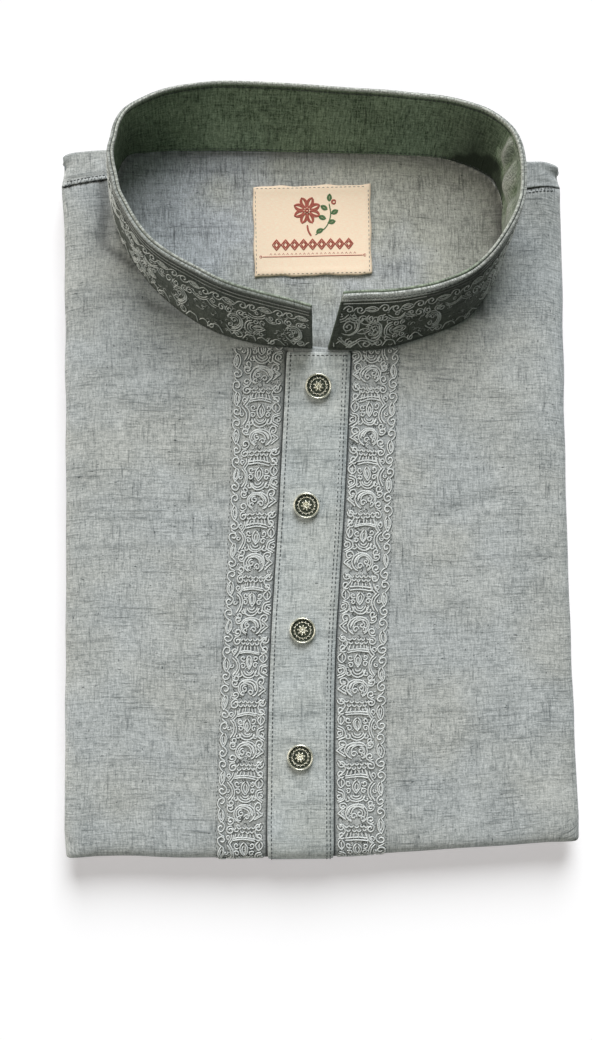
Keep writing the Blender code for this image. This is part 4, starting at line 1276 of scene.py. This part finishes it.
def collar_threads():
    """The band's embroidery, all round on its outer ply."""
    tubes = Tubes(4)
    paths = []
    length = COLLAR_RUN
    n = int(length // 18)
    for k in range(n):
        paths += vine(2.0 + k * (length - 4) / n, 25.2)
    m = 16
    for k in range(-1, m):
        for path in strip_repeat(0.0):
            mid = path.mean(0)
            if 13.6 < mid[0] < 23.8 and 5.0 < mid[1] < 15.0 and k % 2:
                continue
            if 4.6 < mid[0] < 14.2 and 4.0 < mid[1] < 15.2:
                continue
            reach = np.linalg.norm(path[-1] - path[0])
            if np.linalg.norm(np.diff(path, axis=0), axis=1).sum() < 1.02 * reach or path[:, 1].min() < 0.8:
                continue
            path = path * np.array([(length / m) / 29.8, 1.13]) + np.array([9.0 + k * length / m, 1.2])
            paths.append(path)
    e = length
    paths += [spiral(e - 7.0, 15.5, 3.6, 0.6, 200, -420), arc(e - 7.0, 15.5, 4.7, 60, 300), arc(e - 7.0, 15.5, 5.6, 100, 260)]
    paths += lens(e - 15.5, 18.4, 6.6, 3.4, 0.5) + lens(e - 15.5, 12.6, 6.6, 3.4, -0.5)
    paths += [spiral(e - 20.6, 18.8, 2.2, 0.4, 0, 400), spiral(e - 20.6, 12.0, 2.2, 0.4, 0, -400)]
    bough = curve((e - 3.5, 8.6), (e - 9.0, 4.4), (e - 15.0, 7.6), (e - 21.5, 5.2))
    paths += [bough, echo(bough, 1.1), spiral(e - 9.2, 6.0, 2.4, 0.5, 90, -330), spiral(e - 17.4, 4.6, 2.1, 0.4, 90, 480)]
    local = np.random.default_rng(77)
    kept = []
    for path in paths:
        sway = np.stack([waves(path[:, 0], path[:, 1], 16, 64), waves(path[:, 0], path[:, 1], 16, 74)], 1)
        path = path + 0.45 * sway + local.normal(0, 0.12, 2) + local.normal(0, 0.05, path.shape)
        keep = (path[:, 0] > 1.4) & (path[:, 0] < length - 1.4) & (path[:, 1] > 1.2)
        idx = np.where(keep)[0]
        if len(idx) < 3:
            continue
        kept += [path[run] for run in np.split(idx, np.where(np.diff(idx) > 1)[0] + 1) if len(run) > 2]
    every = np.concatenate(kept)
    here, normal = collar_frame(every[:, 0], every[:, 1], OUT * 1.12)
    normal = face_out(here, normal, every)
    # dim is the band's painted shade, passed on to its threads
    dim = band_shade(every[:, 0])
    at = 0
    for path in kept:
        k = slice(at, at + len(path))
        tubes.add(here[k] + normal[k] * 0.14, normal[k], 0.30, shade=float(np.clip(1.1 * dim[k].mean(), 0, 0.95)))
        at += len(path)
    # little loops worked close together between the scrolls
    count, steps = 640, 7
    cu, cv = local.uniform(3.0, length - 3.0, count), local.uniform(3.0, 23.5, count)
    radius, begin = local.uniform(0.6, 1.5, count), local.uniform(0, 2 * math.pi, count)
    sweep = local.uniform(2.2, 4.6, count) * np.where(local.random(count) < 0.5, -1, 1)
    angle = begin[:, None] + sweep[:, None] * np.linspace(0, 1, steps)[None, :]
    wide = radius[:, None] * (1 - 0.35 * np.linspace(0, 1, steps)[None, :])
    spot = np.stack([(cu[:, None] + wide * np.cos(angle)).ravel(), (cv[:, None] + wide * np.sin(angle)).ravel()], 1)
    here, normal = collar_frame(spot[:, 0], spot[:, 1], OUT * 1.12)
    normal = face_out(here, normal, spot)
    # the band's painted shade, with a random darkening of the loops
    dim = band_shade(cu)
    for k in range(count):
        part = slice(k * steps, (k + 1) * steps)
        tubes.add(here[part] + normal[part] * 0.04, normal[part], 0.20,
                  shade=float(np.clip(local.uniform(0.0, 0.55) + dim[k], 0, 0.95)))
    # two fine cords under the rolled top edge
    s = np.linspace(1.5, length - 1.5, 620)
    for t in (30.6, 28.6):
        here = collar_map(s, t + 0.1 * np.sin(s * 0.3), OUT * 1.05)
        away = unit(collar_map(s, t, OUT * 2.0) - collar_map(s, t, 0.0))
        for lo in range(0, 619, 20):
            part = slice(lo, min(lo + 21, 620))
            # the cords are darkened except near the right end, and take the band's painted shade
            tubes.add(here[part] + away[part] * 0.06, away[part], 0.26, taper=False,
                      shade=float(np.clip(0.45 * (1 - ease((s[lo] - length + 62) / 24)) + band_shade(s[lo]), 0, 0.95)))
    ob = tubes.object("embroidery_collar", THREAD_BAND)
    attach(ob, "root")
    return ob


def face_out(here, normal, path):
    away = collar_map(path[:, 0], path[:, 1], OUT * 2.0) - collar_map(path[:, 0], path[:, 1], 0.0)
    return normal * np.sign((normal * away).sum(-1, keepdims=True))


# -------------------------------------------------------------------- stitches
def dashes(tubes, here, normal, pitch, length, radius):
    """A row of stitches along a line of points."""
    step = np.linalg.norm(np.diff(here, axis=0), axis=1)
    run = np.r_[0, np.cumsum(step)]
    count = int(run[-1] / pitch)
    for k in range(count):
        a = k * pitch + 0.3
        t = np.array([a, a + length * 0.5, a + length])
        pts = np.stack([np.interp(t, run, here[:, c]) for c in range(3)], 1)
        n = unit(np.stack([np.interp(t, run, normal[:, c]) for c in range(3)], 1))
        lift = np.array([-0.10, 0.10, -0.10])[:, None]
        tubes.add(pts + n * lift, n, radius)


def drape(x, y):
    """Points that lie on the finished front and back cloth."""
    out = []
    for a, b in zip(np.ravel(x), np.ravel(y)):
        high = -1e9
        for tree in TREES:
            hit = tree.ray_cast(Vector((a * MM, b * MM, 0.2)), Vector((0, 0, -1)))[0]
            if hit is not None:
                high = max(high, hit.z / MM)
        out.append((a, b, high if high > 0 else 18.0))
    return np.array(out)


def stitches():
    tubes = Tubes(5)
    # placket: one row inside the left edge, two inside the right, one at the top
    y = np.linspace(58.6, -167.0, 420)
    for frm, off in ((1, 1.6), (2, -1.5), (2, -3.1)):
        x = smooth(PLACKET, y, frm) + off
        p, q = nominal(x, y)
        tail = np.linspace(1, 23.0, 40)
        p = np.r_[p, np.full(40, p[-1])]
        q = np.r_[q, q[-1] - tail]
        here, normal = front_frame(p, q)
        dashes(tubes, here + normal * 1.38, normal, 2.15, 1.3, 0.25)
    x = np.linspace(-15.2, 12.6, 60)
    p, q = nominal(x, np.full(60, 58.0))
    here, normal = front_frame(p, q)
    dashes(tubes, here + normal * 1.38, normal, 2.15, 1.3, 0.25)
    # shoulder seams: stitches above the left one, below the right one
    for x0, x1, off, dip in ((-121.5, -100.5, 2.1, 1.5), (91.5, 112.0, -1.9, 0.5)):
        # a dark tube laid in the seam is painted shadow in its crease, wider where the cloth is drawn in
        x = np.linspace(x0, x1, 60)
        y = smooth(SHOULDER_SEAM, x) + off
        here = drape(x, y)
        dashes(tubes, here + [0, 0, 0.08], np.tile([[0, 0, 1.0]], (60, 1)), 1.75, 1.15, 0.28)
        # the seam closes to a dark line, wider where the cloth is drawn in
        for k in range(12):
            u = np.linspace(x0 - 1.5, x1 + 1.5, 13)[k:k + 2]
            u = np.linspace(u[0] - 0.3, u[1] + 0.3, 5)
            v = smooth(SHOULDER_SEAM, u) + 0.1 + 0.12 * np.sin(u * 1.9)
            r = dip * (0.24 + 0.17 * math.sin(k * 1.7 + 0.6))
            tubes.add(drape(u, v) + [0, 0, 0.04], np.tile([[0, 0, 1.0]], (5, 1)), max(r, 0.09), flat=0.5)
        # short dark tubes between the stitches are painted shadows of small tucks
        for k in range(13):
            u = x0 + (x1 - x0) * (k + 0.5) / 13
            v = float(smooth(SHOULDER_SEAM, u)) + 0.45 * np.sign(off)
            long = (1.25 + 0.75 * math.sin(k * 2.3)) * np.sign(off)
            px = np.array([u, u + 0.3 * math.sin(k * 1.3), u + 0.5 * math.sin(k * 1.9)])
            tubes.add(drape(px, np.array([v, v + long * 0.5, v + long])) + [0, 0, 0.03],
                      np.tile([[0, 0, 1.0]], (3, 1)), 0.17, flat=0.5)
    # label
    c, s = math.cos(math.radians(LABEL_TURN)), math.sin(math.radians(LABEL_TURN))
    for a, b in (((-1, 1), (1, 1)), ((-1, -1), (1, -1)), ((-1, -1), (-1, 1)), ((1, -1), (1, 1))):
        t = np.linspace(0, 1, 80)[:, None]
        d = (np.array(a) * (1 - t) + np.array(b) * t) * np.array([LABEL_W / 2 - 1.1, LABEL_L / 2 - 1.1])
        x = LABEL_AT[0] + d[:, 0] * c - d[:, 1] * s
        y = LABEL_AT[1] + d[:, 0] * s + d[:, 1] * c
        here = np.stack([x, y, label_level(x, y) + 0.42], -1)
        dashes(tubes, here, np.tile([[0, 0, 1.0]], (80, 1)), 2.1, 1.3, 0.13)
    ob = tubes.object("stitch_rows", STITCH_AND_SEAM_SHADOW)
    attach(ob, "root")
    band = Tubes(5)
    s = np.linspace(1.5, COLLAR_RUN - 1.5, 1400)
    # edge stitching close to the rim, both faces, and the seam rows
    for t, off, radius in ((31.0, 1.0, 0.2), (27.4, 1.10, 0.19), (1.3, 1.10, 0.19),
                           (31.5, -1.05, 0.2), (1.4, -1.10, 0.19)):
        here = collar_map(s, t, OUT * off)
        away = collar_map(s, t, OUT * off * 2) - here
        dashes(band, here, unit(away), 2.1, 1.5, radius)
    ob2 = band.object("stitch_rows_collar", STITCH_AND_SEAM_SHADOW)
    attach(ob2, "root")
    return ob, ob2


# ----------------------------------------------------------------------- label
def label_level(x, y):
    base = BACK_Z + 1.35 + 0.35 * waves(x, y, 70, 21) * 0.8 + 0.2
    return base + 0.18 * np.sin((x + 4) * 0.09) + 0.1 * np.cos((y - 118) * 0.12)


def label():
    k = Nodes("label_tape")
    ribs = k.noise(k.cloth((500, 4200, 0)), 1.0, 0.5)
    grain = k.noise(k.cloth((4200, 700, 0)), 1.0, 0.5)
    tone = k.math("MULTIPLY_ADD", ribs, 0.6, k.math("MULTIPLY", grain, 0.4))
    k.link(k.mix(k.remap(tone, 0.3, 0.7), (1.0, 0.715, 0.525), (1.0, 0.87, 0.68)), k.bsdf.inputs["Base Color"])
    k.link(k.bump(tone, 0.35, 0.00015), k.bsdf.inputs["Normal"])
    k.bsdf.inputs["Roughness"].default_value = 0.6
    k.bsdf.inputs["Sheen Weight"].default_value = 0.1
    n, m = 60, 46
    a = np.linspace(-0.5, 0.5, n)
    b = np.linspace(-0.5, 0.5, m)
    A, B = np.meshgrid(a, b, indexing="ij")
    c, s = math.cos(math.radians(LABEL_TURN)), math.sin(math.radians(LABEL_TURN))
    x = LABEL_AT[0] + A * LABEL_W * c - B * LABEL_L * s
    y = LABEL_AT[1] + A * LABEL_W * s + B * LABEL_L * c
    x = x + 0.25 * np.sin(y * 0.33) * (2 * A) ** 2
    y = y + (0.3 * np.sin(x * 0.27 + 1.0) + 0.15 * np.sin(x * 0.6)) * (2 * B) ** 2
    edge = np.minimum((0.5 - np.abs(A)) * LABEL_W, (0.5 - np.abs(B)) * LABEL_L)
    z = label_level(x, y) + 0.35 - 0.25 * np.exp(-(edge / 0.5) ** 2) + 0.12 * np.exp(-((edge - 2.4) / 1.2) ** 2)
    verts = np.stack([x, y, z], -1).reshape(-1, 3)
    cloth = np.stack([A * LABEL_W, B * LABEL_L], -1).reshape(-1, 2)
    verts, quads, cloth = thicken(verts, grid_quads(n, m), 0.45, cloth)
    ob = mesh_object("label_cloth", verts, quads, None, cloth, [k.mat])
    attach(ob, "root")
    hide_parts("neck_label")
    # a plain woven device: a flower with a sprig, a band of lozenges and a rule
    w = Nodes("label_weave")
    grain = w.noise(w.cloth((1500, 900, 0)), 1.0, 0.5)
    w.link(w.mix(grain, (0.36, 0.075, 0.05), (0.52, 0.14, 0.095)), w.bsdf.inputs["Base Color"])
    w.bsdf.inputs["Roughness"].default_value = 0.6
    g = Nodes("label_weave_green")
    grain = g.noise(g.cloth((1500, 900, 0)), 1.0, 0.5)
    g.link(g.mix(grain, (0.06, 0.14, 0.05), (0.12, 0.22, 0.09)), g.bsdf.inputs["Base Color"])
    g.bsdf.inputs["Roughness"].default_value = 0.6
    red, green = Tubes(5), Tubes(5)

    def draw(path, radius, tubes=red):
        path = np.asarray(path, float)
        X = LABEL_AT[0] + path[:, 0] * c - path[:, 1] * s
        Y = LABEL_AT[1] + path[:, 0] * s + path[:, 1] * c
        here = np.stack([X, Y, label_level(X, Y) + 0.40], -1)
        tubes.add(here, np.tile([[0, 0, 1.0]], (len(path), 1)), radius, flat=0.45)

    # a flower of eight petals, a sprig beside it and a stem below
    cx, cy = -2.4, 9.6
    for kx in range(8):
        a = math.radians(kx * 45 + 22.5)
        for width in (3.0, 1.5):
            for half in lens(4.0, 0, 5.2, width):
                draw(np.stack([cx + half[:, 0] * math.cos(a) - half[:, 1] * math.sin(a),
                               cy + half[:, 0] * math.sin(a) + half[:, 1] * math.cos(a)], 1), 0.36)
    draw(arc(cx, cy, 0.8, 0, 350), 0.5)
    draw(curve((cx, cy - 7.0), (cx + 0.5, -0.2), (cx + 1.8, -2.6)), 0.45)
    draw(curve((1.4, -2.2), (6.6, 1.6), (8.8, 7.2), (8.2, 12.6)), 0.28, green)
    for u, v, lean in ((5.2, 0.6, 205), (7.4, 3.6, 10), (6.6, 5.4, 160), (9.0, 7.8, 25), (7.4, 9.8, 150), (8.2, 13.6, 85)):
        a = math.radians(lean)
        for width in (1.9, 0.8):
            for half in lens(1.9, 0, 3.6, width):
                draw(np.stack([u + half[:, 0] * math.cos(a) - half[:, 1] * math.sin(a),
                               v + half[:, 0] * math.sin(a) + half[:, 1] * math.cos(a)], 1), 0.30, green)
    draw(arc(10.4, 13.4, 0.9, 0, 350), 0.45)
    # a band of nested lozenges, a rule with a dot at each end, and a row of small chevrons just above the rule
    for kx in range(-4, 5):
        u = kx * 4.3
        for r in (2.0, 1.1):
            draw(line((u - r, -6.6), (u, -6.6 + r * 1.25), (u + r, -6.6), (u, -6.6 - r * 1.25), (u - r, -6.6)), 0.34)
    draw(line((-24.0, -12.2), (24.0, -12.2)), 0.22)
    for kx in (-24.8, 24.8):
        draw(arc(kx, -12.2, 0.55, 0, 350), 0.25)
    for kx in range(-10, 11):
        draw(line((kx * 2.0 - 0.5, -11.3), (kx * 2.0, -10.6), (kx * 2.0 + 0.5, -11.3)), 0.18)
    ob2 = red.object("label_device", w.mat)
    ob3 = green.object("label_sprig", g.mat)
    for o in (ob2, ob3):
        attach(o, "root")
    return ob, ob2


# --------------------------------------------------------------------- buttons
def button_materials():
    k = Nodes("button_metal")
    k.new("ShaderNodeTexCoord")
    wear = k.noise(k.cloth((700, 700, 700)), 3.0, 0.6)
    k.link(k.mix(k.remap(wear, 0.35, 0.65), (0.68, 0.66, 0.54), (0.97, 0.95, 0.86)), k.bsdf.inputs["Base Color"])
    k.link(k.remap(wear, 0.3, 0.7, 0.34, 0.20), k.bsdf.inputs["Roughness"])
    k.bsdf.inputs["Metallic"].default_value = 0.82
    k.link(k.bump(wear, 0.15, 0.0001), k.bsdf.inputs["Normal"])
    d = Nodes("button_patina")
    grime = d.noise(d.cloth((1200, 1200, 1200)), 3.0, 0.6)
    d.link(d.mix(d.remap(grime, 0.4, 0.7), (0.022, 0.028, 0.02), (0.10, 0.115, 0.08)), d.bsdf.inputs["Base Color"])
    d.bsdf.inputs["Metallic"].default_value = 0.6
    d.bsdf.inputs["Roughness"].default_value = 0.5
    return k.mat, d.mat


def lathe(profile, seg, z0=0.0):
    prof = np.array(profile, float)
    a = np.arange(seg) / seg * 2 * math.pi
    grid = np.stack([prof[:, None, 0] * np.cos(a), prof[:, None, 0] * np.sin(a),
                     np.repeat(prof[:, 1:2], seg, 1) + z0], -1)
    return grid.reshape(-1, 3), grid_quads(len(prof), seg, wrap_m=True)


def blob(cx, cy, cz, rx, ry, rz, turn, seg=10, rings=5):
    """Upper half of an ellipsoid, closed below."""
    v, q, t = [], [], []
    for i in range(rings):
        e = math.pi / 2 * i / rings
        a = np.arange(seg) / seg * 2 * math.pi
        x, y = rx * math.cos(e) * np.cos(a), ry * math.cos(e) * np.sin(a)
        v.append(np.stack([cx + x * math.cos(turn) - y * math.sin(turn),
                           cy + x * math.sin(turn) + y * math.cos(turn),
                           np.full(seg, cz + rz * math.sin(e))], 1))
    v.append(np.array([[cx, cy, cz + rz], [cx, cy, cz]]))
    q = grid_quads(rings, seg, wrap_m=True)
    top, low = rings * seg, rings * seg + 1
    s = np.arange(seg)
    s2 = (s + 1) % seg
    last = (rings - 1) * seg
    t = np.concatenate([np.stack([np.full(seg, top), last + s, last + s2], 1),
                        np.stack([np.full(seg, low), s2, s], 1)])
    return np.concatenate(v), q, t


def buttons():
    metal, patina = button_materials()
    R = BUTTON_R
    body = [(0.02, 1.35), (R * 0.30, 1.35), (R * 0.78, 1.30), (R * 0.83, 1.30), (R * 0.85, 1.95),
            (R * 0.875, 2.32), (R * 0.91, 2.48), (R * 0.945, 2.42), (R * 0.98, 2.12), (R * 1.0, 1.65),
            (R * 0.985, 1.15), (R * 0.93, 0.65), (R * 0.82, 0.25), (R * 0.60, 0.06), (0.02, 0.06)]
    v, q = lathe(body, 72)
    centre = np.array([[0, 0, 1.35], [0, 0, 0.06]])
    s = np.arange(72)
    s2 = (s + 1) % 72
    base = len(v)
    tri = [np.stack([np.full(72, base), s2, s], 1), np.stack([np.full(72, base + 1), (len(body) - 1) * 72 + s,
                                                              (len(body) - 1) * 72 + s2], 1)]
    v = np.concatenate([v, centre])
    ring = np.repeat(np.arange(len(body) - 1), 72)
    idx_q = np.where(ring < 4, 1, 0)
    parts_v, parts_q, parts_t, iq, it = [v], [q], [np.concatenate(tri)], [idx_q], [np.ones(144, int)]
    count = len(v)

    def put(b, mat):
        nonlocal count
        parts_v.append(b[0])
        parts_q.append(b[1] + count)
        parts_t.append(b[2] + count)
        iq.append(np.full(len(b[1]), mat))
        it.append(np.full(len(b[2]), mat))
        count += len(b[0])

    for k in range(48):        # beaded ring
        a = math.radians(k * 7.5)
        put(blob(R * 0.60 * math.cos(a), R * 0.60 * math.sin(a), 1.30, 0.34, 0.36, 0.40, a, 6, 3), 0)
    for k in range(16):        # scallops around it
        a = math.radians(k * 22.5)
        put(blob(R * 0.675 * math.cos(a), R * 0.675 * math.sin(a), 1.30, 0.42, 0.40, 0.36, a, 8, 3), 0)
    for k in range(8):         # flower
        a = math.radians(k * 45 + 12)
        put(blob(R * 0.255 * math.cos(a), R * 0.255 * math.sin(a), 1.32, 1.12, 0.56, 0.85, a), 0)
    put(blob(0, 0, 1.5, 0.85, 0.85, 0.85, 0, 14), 0)
    V = np.concatenate(parts_v)
    Q, T = np.concatenate(parts_q), np.concatenate(parts_t)
    index = np.r_[np.concatenate(iq), np.concatenate(it)]
    made = []
    for node, x, y, turn in BUTTONS:
        p, q = nominal(x, y)
        here, normal = front_frame(np.array([p]), np.array([q]))
        n = unit(normal[0] * np.array([0.4, 0.4, 1.0]))
        tx = unit(np.cross([0, 1.0, 0], n))
        ty = np.cross(n, tx)
        a = math.radians(turn)
        rot = np.stack([V[:, 0] * math.cos(a) - V[:, 1] * math.sin(a),
                        V[:, 0] * math.sin(a) + V[:, 1] * math.cos(a), V[:, 2]], 1)
        at = here[0] + normal[0] * 1.5
        W = at + rot[:, :1] * tx + rot[:, 1:2] * ty + rot[:, 2:] * n
        ob = mesh_object(node + "_metal", W, Q, T, np.concatenate([V + len(made) * 40]), [metal, patina], index)
        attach(ob, "root")
        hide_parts(node)
        made.append(ob)
    return made


# ------------------------------------------------------------------ assembling
front = front_cloth()
back = back_cloth()
stack = layers()
TREES = [BVHTree.FromPolygons([v.co for v in o.data.vertices], [p.vertices[:] for p in o.data.polygons]) for o in (front, back)]
outer = band_ply("collar_outer_ply", 0.12, 1.05, 33.9, 0.0, BAND_OUT_WITH_PAINTED_SHADE, "collar_outer")
inner = band_ply("collar_inner_ply", -1.05, -0.12, 34.5, 0.3, BAND_IN_WITH_PAINTED_SHADE, "collar_inner")
strip = placket()
left = strip_threads(-1)
right = strip_threads(1)
around = collar_threads()
rows, band_rows = stitches()
tag, device = label()
studs = buttons()

count = 0
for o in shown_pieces():
    here = sum(len(p.vertices) - 2 for p in o.data.polygons)
    count += here
    print("triangles", o.name, here)
print("triangles in all", count)

# ------------------------------------------------------------------- the stage
def floor():
    k = Nodes("floor_paper")
    k.bsdf.inputs["Base Color"].default_value = (0.86, 0.86, 0.86, 1)
    k.bsdf.inputs["Roughness"].default_value = 0.95
    k.bsdf.inputs["Specular IOR Level"].default_value = 0.0
    k.bsdf.inputs["Emission Color"].default_value = (1.0, 0.918, 0.945, 1)
    k.bsdf.inputs["Emission Strength"].default_value = 0.372
    me = bpy.data.meshes.new("floor")
    s = 12.0
    me.from_pydata([(-s, -s, -0.0003), (s, -s, -0.0003), (s, s, -0.0003), (-s, s, -0.0003)], [], [(0, 1, 2, 3)])
    me.materials.append(k.mat)
    ob = bpy.data.objects.new("floor", me)
    bpy.context.scene.collection.objects.link(ob)
    ob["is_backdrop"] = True


floor()

sun = bpy.data.lights.new("key", "SUN")
sun.energy = 3.36
sun.angle = math.radians(35)
sun.color = (0.97, 0.995, 1.02)
key = bpy.data.objects.new("key", sun)
bpy.context.scene.collection.objects.link(key)
elevation, azimuth = math.radians(34.5), math.radians(5)     # from +Y, a little to +X
d = np.array([math.cos(elevation) * math.sin(azimuth), math.cos(elevation) * math.cos(azimuth), math.sin(elevation)])
key.rotation_euler = Vector(d).to_track_quat("Z", "Y").to_euler()

# a weak low light from -X, that only walls facing it take up
low = bpy.data.lights.new("low", "SUN")
low.energy = 1.45
low.angle = math.radians(50)
low.color = (1.0, 0.93, 0.84)
side_light = bpy.data.objects.new("low", low)
bpy.context.scene.collection.objects.link(side_light)
side_light.rotation_euler = Vector((-0.83, 0.12, 0.545)).to_track_quat("Z", "Y").to_euler()

lit = bpy.data.collections.new("lit_by_low")
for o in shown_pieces():
    lit.objects.link(o)
side_light.light_linking.receiver_collection = lit

world = bpy.data.worlds.new("room")
bpy.context.scene.world = world
world.use_nodes = True
wt = world.node_tree
bg = wt.nodes["Background"]
bg.inputs["Color"].default_value = (0.88, 0.985, 0.86, 1)
bg.inputs["Strength"].default_value = 0.18
pale = wt.nodes.new("ShaderNodeBackground")
pale.inputs["Color"].default_value = (1, 1, 1, 1)
pale.inputs["Strength"].default_value = 1.0
path = wt.nodes.new("ShaderNodeLightPath")
mix = wt.nodes.new("ShaderNodeMixShader")
wt.links.new(path.outputs["Is Camera Ray"], mix.inputs["Fac"])
wt.links.new(bg.outputs[0], mix.inputs[1])
wt.links.new(pale.outputs[0], mix.inputs[2])
wt.links.new(mix.outputs[0], wt.nodes["World Output"].inputs["Surface"])

# -------------------------------------------------------------------- the view
CAM_Z, FOCAL_PX = 0.705, 1444.4
cam = bpy.data.cameras.new("camera")
cam.sensor_fit = "VERTICAL"
cam.sensor_height = 36.0
cam.lens = 36.0 * FOCAL_PX / 1040.0
cam.clip_start, cam.clip_end = 0.05, 60.0
eye = bpy.data.objects.new("camera", cam)
bpy.context.scene.collection.objects.link(eye)
eye.location = (-0.012, -0.020, CAM_Z)
eye.rotation_euler = (0, 0, 0)
bpy.context.scene.camera = eye
bpy.context.scene.view_settings.view_transform = "Standard"
